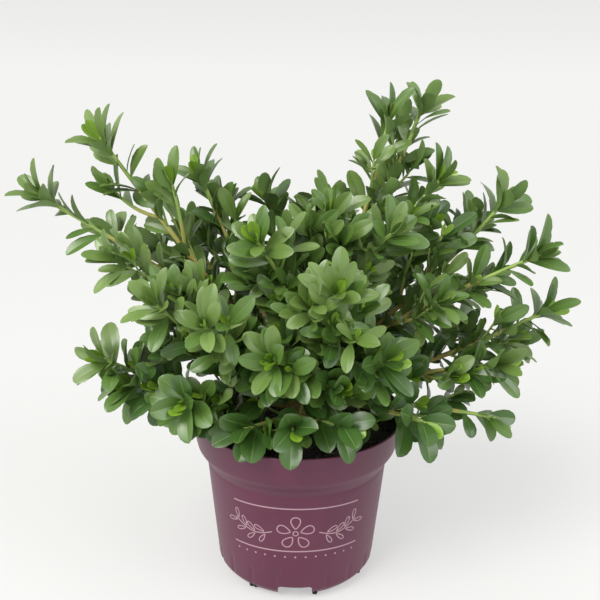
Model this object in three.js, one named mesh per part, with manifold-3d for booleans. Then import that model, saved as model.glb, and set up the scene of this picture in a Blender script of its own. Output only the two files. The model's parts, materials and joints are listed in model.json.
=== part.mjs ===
// An azalea shrub in its nursery pot, in millimetres, with +Z up.
// The origin is the middle of the pot's flat underside, and -Y is the side that faces the viewer.
// The pot, the potting soil, one short stem, its boughs and every mass of twigs and leaves are
// separate closed bodies. Neighbours that touch keep a gap of 0.3 mm.

import * as THREE from 'three';
import { mergeVertices } from 'three/addons/utils/BufferGeometryUtils.js';
import Module from 'manifold-3d';

const wasm = await Module();
wasm.setup();

// The pot: a thin moulded wall with a flat foot, a tapered body and a wider collar at the rim.
const POT_HEIGHT = 149;
const RIM_RADIUS = 95;
const COLLAR_BOTTOM = 121;
const COLLAR_RADIUS = 89;
const NECK_HEIGHT = 108;
const NECK_RADIUS = 81.2;
const HEEL_HEIGHT = 10;
const HEEL_RADIUS = 72;
const FOOT_RADIUS = 63;
const POT_WALL = 1.8;
const POT_FLOOR = 2.4;
const POT_SEGMENTS = 32;
const NOTCH_COUNT = 4;
const NOTCH_WIDTH = 26;
const NOTCH_HEIGHT = 5;
const NOTCH_DEPTH = 12;
const NOTCH_SEGMENTS = 8;

// The soil and the short stem that stands on it.
const CLEARANCE = 0.3;
const CUT_CLEARANCE = 0.36;
const SOIL_HEIGHT = 135;
const SOIL_CROWN = 138;
const SOIL_FLAT_RADIUS = 18;
const STEM_HEIGHT = 52;
const STEM_FOOT_RADIUS = 11;
const STEM_RADIUS = 7;
const STEM_TOP_RADIUS = 5.5;
const STEM_FLARE = 1.2;
const STEM_FLARE_HEIGHT = 7;
const STEM_WAIST_HEIGHT = 20;
const STEM_CAP = 4;
const STEM_SEGMENTS = 12;

// Limbs: a bough takes the first part of its shoot's path, and the mass's own stem the rest.
// A bough that leaves the stem sways to one side, and a shoot on a bough first runs along it.
const BOUGH_SHARE = 0.4;
const SWAY = 7;
const BRANCH_BEND = 0.25;
const BRANCH_FOLLOW = 0.2;
const BOUGH_FOOT_RADIUS = 3.2;
const BOUGH_TIP_RADIUS = 2.1;
const LEADER_FOOT_RADIUS = 1.9;
const LEADER_TIP_RADIUS = 1.2;
const SIDE_FOOT_RADIUS = 1.5;
const SIDE_TIP_RADIUS = 1.1;
const BOUGH_SIDES = 5;
const TWIG_SIDES = 3;
const LIMB_STEPS = 4;
const SIDE_STEPS = 2;

// Side shoots leave a mass's own stem one after the other, turned on by the golden angle, and
// bend upwards. One that would leave the mass's space is tried again, turned and shortened.
const GOLDEN_ANGLE = THREE.MathUtils.degToRad(137.5);
const SIDE_ANGLE = THREE.MathUtils.degToRad(42);
const SIDE_FROM = 0.1;
const SIDE_TO = 0.6;
const SIDE_SHORTEST = 26;
const SIDE_LONGEST = 64;
const SIDE_SPIN = 1.3;
const SIDE_TRIES = 6;
const SIDE_TRY_TURN = 0.9;
const SIDE_TRY_CUT = 0.1;
const SIDE_BEND = 0.5;
const SIDE_OUT = 0.72;
const SIDE_RISE = 0.2;
const SIDE_FORWARD = 0.14;

// Leaves: blades of eight faces, pointed at both ends and widest beyond the middle.
const LEAF_LENGTH = 37;
const LEAF_WIDTH = 19;
const LEAF_THICKNESS = 1.8;
const LEAF_ROOT = 0.4;
const LEAF_WIDEST = 0.58;
const LEAF_FOLD = 0.5;

// A twig ends in a rosette that opens from its heart outwards. Single leaves sit further down,
// on all but the lowest part of the twig.
const ROSETTE = 5;
const SIDE_ROSETTE = 4;
const ROSETTE_TOP = 1.8;
const ROSETTE_STEP = 3;
const ROSETTE_ANGLE = 26;
const ROSETTE_OPENING = 11;
const ROSETTE_SIZE = 0.84;
const ROSETTE_GROWTH = 0.05;
const STEM_LEAF_STEP = 13.5;
const STEM_LEAF_START = 0.6;
const BARE_LEADER = 0.12;
const BARE_TWIG = 0.3;

// Low leaves droop and high ones rise. Each faces up, outwards and towards the light.
const DROOP = -0.5;
const DROOP_HEIGHT = 155;
const RISE = 0.12;
const RISE_HEIGHT = 280;
const FACING_ALONG = 0.7;
const FACING_OUT = 0.5;
const LIGHT = new THREE.Vector3(0, -0.3, 0.6);

// Where a leaf doesn't fit, it is tried at another share of its angle, turned on by so much.
const LEAF_TRIES = [[1, 0], [0.75, 0.5], [0.75, -0.5], [1.2, 0.9], [0.5, 0]];

// The faces of a finished body: edges this short are drawn together, and near the foot of a
// mass only the very finest, because the body was cut clear of its limb there.
const SHORTEST_EDGE = 0.8;
const FINEST_EDGE = 0.05;
const MEANINGLESS_EDGE = 0.01;
const HELD_FOOT = 14;
const THINNEST_FACE = 0.05;
const MOST_TURN = 0.25;

// How near a twig or leaf may come to the border of its mass's space, a limb, the pot or a leaf.
// A twig or leaf is tested at these shares of its length.
const BORDER = 1.4;
const LIMB_GAP = 1.6;
const POT_GAP = 2;
const LEAF_GAP = 4;
const TESTED_SHARES = [0.5, 0.75, 1];

// Each shoot: the bearing of its tip (degrees from +X towards +Y), how far out the tip is, how
// high above the ground it is, and how far the middle of its path hangs below a straight line.
// A shoot with foot grows from the stem, that far above the soil, and its first part is a bough.
// A shoot with on grows from the side of that bough, at that share of the bough's length.
const SHOOTS = [
  { name: 'left_tall', foot: 32, bearing: 187, reach: 156, height: 384, hang: 3, sides: 3 },
  { name: 'left_far', on: 'left_tall', at: 0.45, bearing: 181, reach: 211, height: 336, sides: 2 },
  { name: 'left_behind', on: 'left_tall', at: 0.8, bearing: 163, reach: 170, height: 288, sides: 1 },
  { name: 'left_inner', foot: 41, bearing: 167, reach: 86, height: 352, hang: 4, sides: 2 },
  { name: 'left_front', foot: 24, bearing: 213, reach: 129, height: 266, hang: 6, sides: 2 },
  { name: 'left_front_inner', on: 'left_front', at: 0.6, bearing: 233, reach: 114, height: 256, sides: 2 },
  { name: 'left_low', foot: 13, bearing: 198, reach: 165, height: 214, hang: 9, sides: 2 },
  { name: 'left_low_front', on: 'left_low', at: 0.5, bearing: 222, reach: 118, height: 190, sides: 2 },
  { name: 'front_low', foot: 14, bearing: 268, reach: 96, height: 176, hang: 2, sides: 1 },
  { name: 'front_low_left', on: 'front_low', at: 0.5, bearing: 243, reach: 92, height: 168, sides: 1 },
  { name: 'front_low_right', on: 'front_low', at: 0.75, bearing: 292, reach: 94, height: 176, sides: 1 },
  { name: 'front', foot: 30, bearing: 285, reach: 106, height: 286, hang: 6, sides: 3 },
  { name: 'front_left', on: 'front', at: 0.4, bearing: 259, reach: 98, height: 232, sides: 3 },
  { name: 'front_right', on: 'front', at: 0.25, bearing: 308, reach: 108, height: 228, sides: 2 },
  { name: 'front_inner', on: 'front', at: 0.15, bearing: 292, reach: 84, height: 204, sides: 1 },
  { name: 'front_inner_left', on: 'front', at: 0.2, bearing: 246, reach: 66, height: 202, sides: 1 },
  { name: 'middle', foot: 47, bearing: 340, reach: 28, height: 326, hang: 0, sides: 2 },
  { name: 'middle_left', on: 'middle', at: 0.35, bearing: 246, reach: 76, height: 316, sides: 2 },
  { name: 'middle_right', on: 'middle', at: 0.7, bearing: 328, reach: 84, height: 318, sides: 2 },
  { name: 'right_low', foot: 15, bearing: 343, reach: 168, height: 166, hang: -5, sides: 2 },
  { name: 'right_low_front', on: 'right_low', at: 0.5, bearing: 320, reach: 128, height: 177, sides: 2 },
  { name: 'right_far', foot: 22, bearing: 354, reach: 207, height: 250, hang: 8, sides: 2 },
  { name: 'right_far_low', on: 'right_far', at: 0.6, bearing: 345, reach: 168, height: 210, sides: 2 },
  { name: 'right_upper', foot: 33, bearing: 3, reach: 170, height: 334, hang: 8, sides: 3 },
  { name: 'right_middle', on: 'right_upper', at: 0.6, bearing: 349, reach: 192, height: 300, sides: 2 },
  { name: 'right_tall', foot: 43, bearing: 17, reach: 106, height: 410, hang: 4, sides: 2 },
  { name: 'right_inner', on: 'right_tall', at: 0.5, bearing: 357, reach: 113, height: 355, sides: 2 },
  { name: 'right_tall_left', on: 'right_tall', at: 0.65, bearing: 15, reach: 76, height: 403, sides: 1 },
  { name: 'back_right', foot: 27, bearing: 46, reach: 160, height: 290, hang: 8, sides: 2 },
  { name: 'back_right_low', on: 'back_right', at: 0.4, bearing: 27, reach: 180, height: 236, sides: 2 },
  { name: 'back_right_rim', on: 'back_right', at: 0.25, bearing: 64, reach: 160, height: 200, sides: 2 },
  { name: 'back_tall', foot: 38, bearing: 76, reach: 112, height: 318, hang: 5, sides: 2 },
  { name: 'back_middle', on: 'back_tall', at: 0.5, bearing: 88, reach: 166, height: 262, sides: 2 },
  { name: 'back_inner', on: 'back_tall', at: 0.75, bearing: 118, reach: 66, height: 326, sides: 2 },
  { name: 'back_left', foot: 28, bearing: 132, reach: 160, height: 286, hang: 8, sides: 2 },
  { name: 'back_left_low', on: 'back_left', at: 0.4, bearing: 151, reach: 166, height: 226, sides: 2 },
  { name: 'back_low', foot: 15, bearing: 110, reach: 156, height: 204, hang: 6, sides: 2 },
];

const UP = new THREE.Vector3(0, 0, 1);
const FOLIAGE = { color: 0x4b7a30, roughness: 0.5, metalness: 0 };
const WOOD = { color: 0x8d6d45, roughness: 0.75, metalness: 0 };
const PLASTIC = { color: 0x6c4350, roughness: 0.42, metalness: 0 };
const PEAT = { color: 0x29241f, roughness: 0.95, metalness: 0 };

const group = new THREE.Group();

function addMesh(name, geometry, finish) {
  const mesh = new THREE.Mesh(geometry, new THREE.MeshStandardMaterial(finish));
  mesh.name = name;
  group.add(mesh);
}

// Solids: a closed geometry becomes a body that can be joined and cut, and back.

function signedVolume(vertices, triangles) {
  const a = new THREE.Vector3();
  const b = new THREE.Vector3();
  const c = new THREE.Vector3();
  let sum = 0;
  for (const [i, j, k] of triangles) {
    a.fromArray(vertices, 3 * i);
    b.fromArray(vertices, 3 * j);
    c.fromArray(vertices, 3 * k);
    sum += a.dot(b.cross(c)) / 6;
  }
  return sum;
}

function solid(geometry) {
  geometry.deleteAttribute('normal');
  geometry.deleteAttribute('uv');
  const merged = mergeVertices(geometry, 1e-4);
  const vertices = Array.from(merged.attributes.position.array);
  const index = Array.from(merged.index.array);
  const triangles = [];
  for (let first = 0; first < index.length; first += 3) {
    const [i, j, k] = index.slice(first, first + 3);
    if (i !== j && j !== k && k !== i) triangles.push([i, j, k]);
  }
  if (signedVolume(vertices, triangles) < 0) triangles.forEach((triangle) => triangle.reverse());
  const vertProperties = new Float32Array(vertices);
  const triVerts = new Uint32Array(triangles.flat());
  return new wasm.Manifold(new wasm.Mesh({ numProp: 3, vertProperties, triVerts }));
}

// A body's faces as a list of corner triples, with each point numbered once.
function facesOf(mesh) {
  const same = Array.from({ length: mesh.vertProperties.length / mesh.numProp }, (_, i) => i);
  mesh.mergeFromVert.forEach((from, i) => {
    same[from] = mesh.mergeToVert[i];
  });
  const faces = [];
  for (let first = 0; first < mesh.triVerts.length; first += 3) {
    faces.push(Array.from(mesh.triVerts.slice(first, first + 3), (vertex) => same[vertex]));
  }
  return faces;
}

// Of a body's separate shells only the largest stays: a scrap is dropped and a hollow is filled.
function largestShell(vertices, faces) {
  const parent = new Map();
  const find = (vertex) => {
    let root = vertex;
    while (parent.has(root)) root = parent.get(root);
    if (root !== vertex) parent.set(vertex, root);
    return root;
  };
  for (const [i, j, k] of faces) {
    for (const other of [j, k]) {
      if (find(other) !== find(i)) parent.set(find(other), find(i));
    }
  }
  const shells = new Map();
  for (const face of faces) {
    const root = find(face[0]);
    if (!shells.has(root)) shells.set(root, []);
    shells.get(root).push(face);
  }
  const volumes = [...shells.values()].map((shell) => [signedVolume(vertices, shell), shell]);
  return volumes.reduce((best, next) => (next[0] > best[0] ? next : best))[1];
}

function normalOf(points, [i, j, k]) {
  const side = points[j].clone().sub(points[i]);
  return side.cross(points[k].clone().sub(points[i]));
}

// The very short edges left where faces cross are drawn together, as long as no face turns over.
// Points near the foot stay where they are, because the body was cut clear of a limb there.
function drawnTogether(points, faces, shortest, foot) {
  const facesAt = points.map(() => new Set());
  faces.forEach((face) => face.forEach((vertex) => facesAt[vertex].add(face)));
  const around = (vertex) => new Set([...facesAt[vertex]].flat().filter((other) => other !== vertex));
  const kept = new Set(faces);
  const keepsItsSide = (face, from, to) => {
    const before = normalOf(points, face);
    const after = normalOf(points, face.map((vertex) => (vertex === from ? to : vertex)));
    const area = after.length();
    const flat = before.dot(after) > MOST_TURN * before.length() * area;
    return area > shortest * shortest * THINNEST_FACE && flat;
  };
  const tryToDraw = (from, to) => {
    const gap = points[from].distanceTo(points[to]);
    const held = foot && points[from].distanceTo(foot) < HELD_FOOT;
    if (gap > (held ? FINEST_EDGE : shortest)) return false;
    const shared = [...around(from)].filter((vertex) => around(to).has(vertex));
    const moving = [...facesAt[from]].filter((face) => !face.includes(to));
    const fair = gap < MEANINGLESS_EDGE || moving.every((face) => keepsItsSide(face, from, to));
    if (shared.length !== 2 || !fair) return false;
    for (const face of facesAt[from]) {
      if (face.includes(to)) {
        face.forEach((vertex) => vertex !== from && facesAt[vertex].delete(face));
        kept.delete(face);
      } else {
        face[face.indexOf(from)] = to;
        facesAt[to].add(face);
      }
    }
    facesAt[from].clear();
    return true;
  };
  let drawn = true;
  while (drawn) {
    drawn = false;
    for (const face of faces) {
      for (let corner = 0; corner < 3 && kept.has(face); corner += 1) {
        const [from, to] = [face[corner], face[(corner + 1) % 3]];
        drawn = tryToDraw(from, to) || tryToDraw(to, from) || drawn;
      }
    }
  }
  return [...kept];
}

// Points that all but touch are moved a hair apart, so that a narrow neck stays a neck.
function movedApart(points, faces) {
  const used = [...new Set(faces.flat())];
  used.forEach((a, i) => used.slice(i + 1).forEach((b) => {
    const between = points[b].clone().sub(points[a]);
    if (between.length() < FINEST_EDGE / 2) {
      between.setLength(FINEST_EDGE / 2);
      points[a].sub(between);
      points[b].add(between);
    }
  }));
}

// The finished geometry of a body, as one closed shell.
function finished(body, shortest = FINEST_EDGE, foot = null) {
  const mesh = body.getMesh();
  const shell = largestShell(mesh.vertProperties, facesOf(mesh));
  const points = [];
  for (let first = 0; first < mesh.vertProperties.length; first += mesh.numProp) {
    points.push(new THREE.Vector3().fromArray(mesh.vertProperties, first));
  }
  const faces = drawnTogether(points, shell, shortest, foot);
  movedApart(points, faces);
  const numbers = new Map();
  faces.flat().forEach((vertex) => numbers.has(vertex) || numbers.set(vertex, numbers.size));
  const places = [...numbers.keys()].flatMap((vertex) => points[vertex].toArray());
  const geometry = new THREE.BufferGeometry();
  geometry.setAttribute('position', new THREE.Float32BufferAttribute(places, 3));
  geometry.setIndex(faces.flat().map((vertex) => numbers.get(vertex)));
  return geometry;
}

function revolved(profile, segments) {
  const points = profile.map(([radius, height]) => new THREE.Vector2(radius, height));
  return new THREE.LatheGeometry(points, segments).rotateX(Math.PI / 2);
}

// A limb: a tapered cylinder whose rings are moved onto a curve.
function limb(curve, from, to, footRadius, tipRadius, sides, steps) {
  const geometry = new THREE.CylinderGeometry(tipRadius, footRadius, 1, sides, steps);
  const position = geometry.attributes.position;
  for (let i = 0; i < position.count; i += 1) {
    const t = THREE.MathUtils.lerp(from, to, position.getY(i) + 0.5);
    const [across, over] = frameAt(curve.getTangent(t));
    const point = curve.getPoint(t);
    point.addScaledVector(across, position.getX(i)).addScaledVector(over, position.getZ(i));
    position.setXYZ(i, point.x, point.y, point.z);
  }
  return geometry;
}

function frameAt(direction) {
  const reference = Math.abs(direction.z) > 0.97 ? new THREE.Vector3(1, 0, 0) : UP;
  const across = new THREE.Vector3().crossVectors(direction, reference).normalize();
  const over = new THREE.Vector3().crossVectors(across, direction);
  return [across, over];
}

// Chance: a number from 0 to 1 that depends only on its whole-number keys.
function chance(...keys) {
  let state = 2166136261;
  for (const key of keys) {
    state = Math.imul(state ^ (key + 1), 16777619);
    state ^= state >>> 15;
    state = Math.imul(state, 2246822519);
    state ^= state >>> 13;
  }
  return (state >>> 0) / 4294967296;
}

function spread(low, high, ...keys) {
  return low + (high - low) * chance(...keys);
}

// The pot and its soil.

const outerProfile = [
  [FOOT_RADIUS, 0],
  [HEEL_RADIUS, HEEL_HEIGHT],
  [NECK_RADIUS, NECK_HEIGHT],
  [COLLAR_RADIUS, COLLAR_BOTTOM],
  [RIM_RADIUS, POT_HEIGHT],
];
const innerProfile = outerProfile.map(([radius, height], i) => (
  i === 0 ? [FOOT_RADIUS - POT_WALL, POT_FLOOR] : [radius - POT_WALL, height]
));

function potGeometry() {
  const profile = [[0, 0], ...outerProfile, ...innerProfile.toReversed(), [0, POT_FLOOR]];
  let pot = solid(revolved(profile, POT_SEGMENTS));
  for (let i = 0; i < NOTCH_COUNT; i += 1) {
    const angle = (2 * Math.PI * i) / NOTCH_COUNT - Math.PI / 2;
    const notch = new THREE.CylinderGeometry(1, 1, 2 * NOTCH_DEPTH, NOTCH_SEGMENTS)
      .rotateZ(Math.PI / 2)
      .scale(1, NOTCH_WIDTH / 2, NOTCH_HEIGHT)
      .translate(HEEL_RADIUS, 0, 0)
      .rotateZ(angle);
    pot = pot.subtract(solid(notch));
  }
  return finished(pot);
}

function soilGeometry() {
  const wall = innerProfile.map(([radius, height], i) => (
    [radius - CLEARANCE, i === 0 ? height + CLEARANCE : height]
  )).filter(([, height]) => height < SOIL_HEIGHT);
  const last = wall.at(-1);
  const share = (SOIL_HEIGHT - COLLAR_BOTTOM) / (POT_HEIGHT - COLLAR_BOTTOM);
  const edge = [last[0] + (RIM_RADIUS - COLLAR_RADIUS) * share, SOIL_HEIGHT];
  const top = [[SOIL_FLAT_RADIUS, SOIL_CROWN], [0, SOIL_CROWN]];
  const profile = [[0, POT_FLOOR + CLEARANCE], ...wall, edge, ...top];
  return finished(solid(revolved(profile, POT_SEGMENTS)));
}

// The stem: a short foot that flares at the soil and rounds off where its last bough leaves.

const stemBase = SOIL_CROWN + CLEARANCE;
const stemProfile = [
  [STEM_FOOT_RADIUS, 0],
  [STEM_RADIUS + STEM_FLARE, STEM_FLARE_HEIGHT],
  [STEM_RADIUS, STEM_WAIST_HEIGHT],
  [STEM_TOP_RADIUS, STEM_HEIGHT - STEM_CAP],
  [STEM_TOP_RADIUS / 2, STEM_HEIGHT],
];

function stemSolid(extra) {
  const wall = stemProfile.map(([radius, height]) => [radius + extra, stemBase + height]);
  const foot = [[0, stemBase - extra], [STEM_FOOT_RADIUS + extra, stemBase - extra]];
  const top = [0, stemBase + STEM_HEIGHT + extra];
  return solid(revolved([...foot, ...wall, top], STEM_SEGMENTS));
}

// The path of each shoot, as one curve from its foot to its tip.

function tipOf(shoot) {
  const bearing = THREE.MathUtils.degToRad(shoot.bearing);
  return new THREE.Vector3(
    shoot.reach * Math.cos(bearing),
    shoot.reach * Math.sin(bearing),
    shoot.height,
  );
}

function layOut(shoots) {
  const byName = new Map();
  shoots.forEach((shoot, number) => {
    const tip = tipOf(shoot);
    const path = { ...shoot, number, tip };
    if (shoot.on) {
      const parent = byName.get(shoot.on);
      const t = shoot.at * BOUGH_SHARE;
      const foot = parent.curve.getPoint(t);
      const chord = tip.clone().sub(foot);
      const along = parent.curve.getTangent(t).multiplyScalar(chord.length() * BRANCH_FOLLOW);
      const bend = foot.clone().addScaledVector(chord, BRANCH_BEND).add(along);
      path.curve = new THREE.QuadraticBezierCurve3(foot, bend, tip);
      path.parent = parent;
      path.stemFrom = 0;
    } else {
      const foot = new THREE.Vector3(0, 0, stemBase + shoot.foot);
      const chord = tip.clone().sub(foot);
      const [across, over] = frameAt(chord.clone().normalize());
      const sway = spread(-SWAY, SWAY, number, 1);
      const bend = foot.clone().addScaledVector(chord, 0.5);
      bend.addScaledVector(over, -2 * shoot.hang).addScaledVector(across, sway);
      path.curve = new THREE.QuadraticBezierCurve3(foot, bend, tip);
      path.stemFrom = BOUGH_SHARE + CLEARANCE / path.curve.getLength();
    }
    byName.set(shoot.name, path);
  });
  return [...byName.values()];
}

const paths = layOut(SHOOTS);

// Space: a point belongs to the mass whose own stem is nearest.

const SPACE_STEPS = 8;
for (const path of paths) {
  path.axis = [];
  for (let i = 0; i <= SPACE_STEPS; i += 1) {
    path.axis.push(path.curve.getPoint(THREE.MathUtils.lerp(path.stemFrom, 1, i / SPACE_STEPS)));
  }
  path.boughAxis = [];
  if (!path.parent) {
    for (let i = 0; i <= SPACE_STEPS; i += 1) {
      path.boughAxis.push(path.curve.getPoint((BOUGH_SHARE * i) / SPACE_STEPS));
    }
  }
}

function distanceToAxis(point, axis) {
  let nearest = Infinity;
  const line = new THREE.Line3();
  const spot = new THREE.Vector3();
  for (let i = 0; i + 1 < axis.length; i += 1) {
    line.set(axis[i], axis[i + 1]).closestPointToPoint(point, true, spot);
    nearest = Math.min(nearest, spot.distanceTo(point));
  }
  return nearest;
}

function inOwnSpace(point, own) {
  const home = distanceToAxis(point, own.axis) + 2 * BORDER;
  return paths.every((other) => other === own || distanceToAxis(point, other.axis) > home);
}

const stemAxis = [0, STEM_HEIGHT].map((height) => new THREE.Vector3(0, 0, stemBase + height));

function clearOfLimbs(point) {
  const clear = BOUGH_FOOT_RADIUS + LIMB_GAP;
  if (distanceToAxis(point, stemAxis) < STEM_RADIUS + LIMB_GAP) return false;
  return paths.every((path) => path.parent || distanceToAxis(point, path.boughAxis) > clear);
}

function clearOfPot(point) {
  const radius = Math.hypot(point.x, point.y);
  const overRim = point.z > POT_HEIGHT + POT_GAP;
  const outside = radius > RIM_RADIUS + POT_GAP;
  const overSoil = point.z > SOIL_CROWN + POT_GAP && radius < RIM_RADIUS - POT_WALL - 2 * POT_GAP;
  return overRim || outside || overSoil;
}

function fits(points, own) {
  return points.every((point) => inOwnSpace(point, own) && clearOfLimbs(point) && clearOfPot(point));
}

// Twigs: the mass's own stem, and its side shoots.

function turned(direction, angle, turn) {
  const [across, over] = frameAt(direction);
  const outwards = across.multiplyScalar(Math.cos(turn)).addScaledVector(over, Math.sin(turn));
  return direction.clone().multiplyScalar(Math.cos(angle)).addScaledVector(outwards, Math.sin(angle));
}

function sideShoots(path) {
  const shoots = [];
  const span = 1 - path.stemFrom;
  const stemLength = path.curve.getLength() * span;
  for (let k = 0; k < path.sides; k += 1) {
    const place = (k + spread(0.2, 0.8, path.number, 2, k)) / path.sides;
    const along = THREE.MathUtils.lerp(SIDE_FROM, SIDE_TO, place);
    const t = path.stemFrom + span * along;
    const foot = path.curve.getPoint(t);
    const heading = path.curve.getTangent(t);
    const fullLength = stemLength * (1 - along) * spread(0.5, 0.75, path.number, 3, k);
    for (let tries = 0; tries < SIDE_TRIES; tries += 1) {
      const turn = GOLDEN_ANGLE * k + path.number * SIDE_SPIN + tries * SIDE_TRY_TURN;
      const cut = Math.min(SIDE_LONGEST, fullLength) * (1 - SIDE_TRY_CUT * tries);
      const length = Math.max(SIDE_SHORTEST, cut);
      const direction = turned(heading, SIDE_ANGLE, turn);
      const bend = foot.clone().addScaledVector(direction, length * SIDE_BEND);
      const tip = foot.clone().addScaledVector(direction, length * SIDE_OUT);
      tip.addScaledVector(UP, length * SIDE_RISE).addScaledVector(heading, length * SIDE_FORWARD);
      const curve = new THREE.QuadraticBezierCurve3(foot, bend, tip);
      if (fits(TESTED_SHARES.map((share) => curve.getPoint(share)), path)) {
        shoots.push(curve);
        break;
      }
    }
  }
  return shoots;
}

// Leaves: a rosette at each twig's tip, and single leaves in a spiral further down.

const placedLeaves = [];

function leafPoints(leaf) {
  const points = TESTED_SHARES.map((share) => (
    leaf.root.clone().addScaledVector(leaf.direction, leaf.length * share)
  ));
  for (const side of [-0.5, 0.5]) {
    const middle = leaf.root.clone().addScaledVector(leaf.direction, leaf.length * LEAF_WIDEST);
    points.push(middle.addScaledVector(leaf.across, leaf.width * side));
  }
  return points;
}

function clearOfLeaves(points) {
  return placedLeaves.every((leaf) => (
    leaf.root.distanceTo(points[0]) > 2 * LEAF_LENGTH
    || leaf.points.every((theirs) => points.every((mine) => mine.distanceTo(theirs) > LEAF_GAP))
  ));
}

function growLeaf(path, curve, t, angle, turn, length, roll) {
  const heading = curve.getTangent(t);
  const root = curve.getPoint(t);
  const lift = THREE.MathUtils.mapLinear(root.z, DROOP_HEIGHT, RISE_HEIGHT, DROOP, RISE);
  for (const [share, onwards] of LEAF_TRIES) {
    const direction = turned(heading, angle * share, turn + onwards);
    direction.addScaledVector(UP, THREE.MathUtils.clamp(lift, DROOP, RISE)).normalize();
    const outwards = new THREE.Vector3(root.x, root.y, 0).normalize();
    const facing = heading.clone().multiplyScalar(FACING_ALONG);
    facing.addScaledVector(outwards, FACING_OUT).add(LIGHT);
    const across = new THREE.Vector3().crossVectors(facing, direction).normalize();
    across.applyAxisAngle(direction, roll);
    const leaf = { root, direction, across, length, width: (length * LEAF_WIDTH) / LEAF_LENGTH };
    leaf.points = leafPoints(leaf);
    if (fits(leaf.points, path) && clearOfLeaves(leaf.points)) {
      placedLeaves.push(leaf);
      return [leaf];
    }
  }
  return [];
}

function leavesOn(path, curve, bare, rosette, twig) {
  const leaves = [];
  const length = curve.getLength();
  const start = curve === path.curve ? path.stemFrom : 0;
  for (let k = 0; k < rosette; k += 1) {
    const t = 1 - (ROSETTE_STEP * k + ROSETTE_TOP) / length;
    const opening = ROSETTE_ANGLE + ROSETTE_OPENING * k + spread(-6, 6, path.number, twig, k, 4);
    const angle = THREE.MathUtils.degToRad(opening);
    const grown = ROSETTE_SIZE + ROSETTE_GROWTH * k;
    const size = LEAF_LENGTH * grown * spread(0.88, 1.1, path.number, twig, k, 5);
    const roll = spread(-0.5, 0.5, path.number, twig, k, 9);
    leaves.push(...growLeaf(path, curve, t, angle, GOLDEN_ANGLE * k + twig, size, roll));
  }
  const lowest = (start + bare * (1 - start)) * length;
  let spot = length - ROSETTE_STEP * rosette - STEM_LEAF_STEP * STEM_LEAF_START;
  for (let k = rosette; spot > lowest; k += 1) {
    const angle = THREE.MathUtils.degToRad(spread(52, 68, path.number, twig, k, 6));
    const size = LEAF_LENGTH * spread(0.8, 1.08, path.number, twig, k, 7);
    const roll = spread(-0.6, 0.6, path.number, twig, k, 9);
    leaves.push(...growLeaf(path, curve, spot / length, angle, GOLDEN_ANGLE * k + twig, size, roll));
    spot -= STEM_LEAF_STEP * spread(0.8, 1.2, path.number, twig, k, 8);
  }
  return leaves;
}

function leafSolid(leaf) {
  const over = new THREE.Vector3().crossVectors(leaf.direction, leaf.across);
  const geometry = new THREE.OctahedronGeometry(1, 0);
  const position = geometry.attributes.position;
  for (let i = 0; i < position.count; i += 1) {
    const [x, y, z] = [position.getX(i), position.getY(i), position.getZ(i)];
    const along = [-LEAF_ROOT, leaf.length * LEAF_WIDEST, leaf.length][Math.round(x) + 1];
    const point = leaf.root.clone().addScaledVector(leaf.direction, along);
    point.addScaledVector(leaf.across, (y * leaf.width) / 2);
    point.addScaledVector(over, (z * LEAF_THICKNESS) / 2 + Math.abs(y) * LEAF_FOLD);
    position.setXYZ(i, point.x, point.y, point.z);
  }
  return solid(geometry);
}

// Everything is placed: first the limbs, then the masses.

addMesh('pot', potGeometry(), PLASTIC);
addMesh('soil', soilGeometry(), PEAT);
addMesh('main_stem', finished(stemSolid(0)), WOOD);

const earlierLimbs = [];
function boughSolid(path, extra) {
  const radii = [BOUGH_FOOT_RADIUS + extra, BOUGH_TIP_RADIUS + extra];
  return solid(limb(path.curve, 0, BOUGH_SHARE, ...radii, BOUGH_SIDES, LIMB_STEPS));
}

for (const path of paths.filter((each) => !each.parent)) {
  let bough = boughSolid(path, 0).subtract(stemSolid(CLEARANCE));
  earlierLimbs.forEach((earlier) => {
    bough = bough.subtract(earlier);
  });
  addMesh(`bough_${path.name}`, finished(bough), WOOD);
  earlierLimbs.push(boughSolid(path, CUT_CLEARANCE));
}

const sidesOf = new Map(paths.map((path) => [path, sideShoots(path)]));
for (const path of paths) {
  const radii = [LEADER_FOOT_RADIUS, LEADER_TIP_RADIUS];
  let mass = solid(limb(path.curve, path.stemFrom, 1, ...radii, TWIG_SIDES, LIMB_STEPS));
  earlierLimbs.forEach((earlier) => {
    mass = mass.subtract(earlier);
  });
  const leaves = leavesOn(path, path.curve, path.parent ? BARE_TWIG : BARE_LEADER, ROSETTE, 0);
  sidesOf.get(path).forEach((side, k) => {
    const sideRadii = [SIDE_FOOT_RADIUS, SIDE_TIP_RADIUS];
    mass = mass.add(solid(limb(side, 0, 1, ...sideRadii, TWIG_SIDES, SIDE_STEPS)));
    leaves.push(...leavesOn(path, side, BARE_TWIG, SIDE_ROSETTE, k + 1));
  });
  leaves.forEach((leaf) => {
    mass = mass.add(leafSolid(leaf));
  });
  const foot = path.curve.getPoint(path.stemFrom);
  addMesh(`foliage_${path.name}`, finished(mass, SHORTEST_EDGE, foot), FOLIAGE);
}

export default group;
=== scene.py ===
# %% [markdown]
# # A potted azalea shrub
# A young azalea in the nursery pot it was raised in. One short woody stem stands in dark peat,
# fifteen thin boughs fan out from it just above the soil, and each carries shoots that end in
# rosettes of narrow leaves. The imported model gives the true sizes, so every piece here is worked
# out in the same frame: its own millimetres while it is made, and metres once it is finished.

import json
import math
from collections import namedtuple
from types import SimpleNamespace

import bmesh
import bpy
import numpy as np
from mathutils import Matrix, Vector, noise

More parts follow.
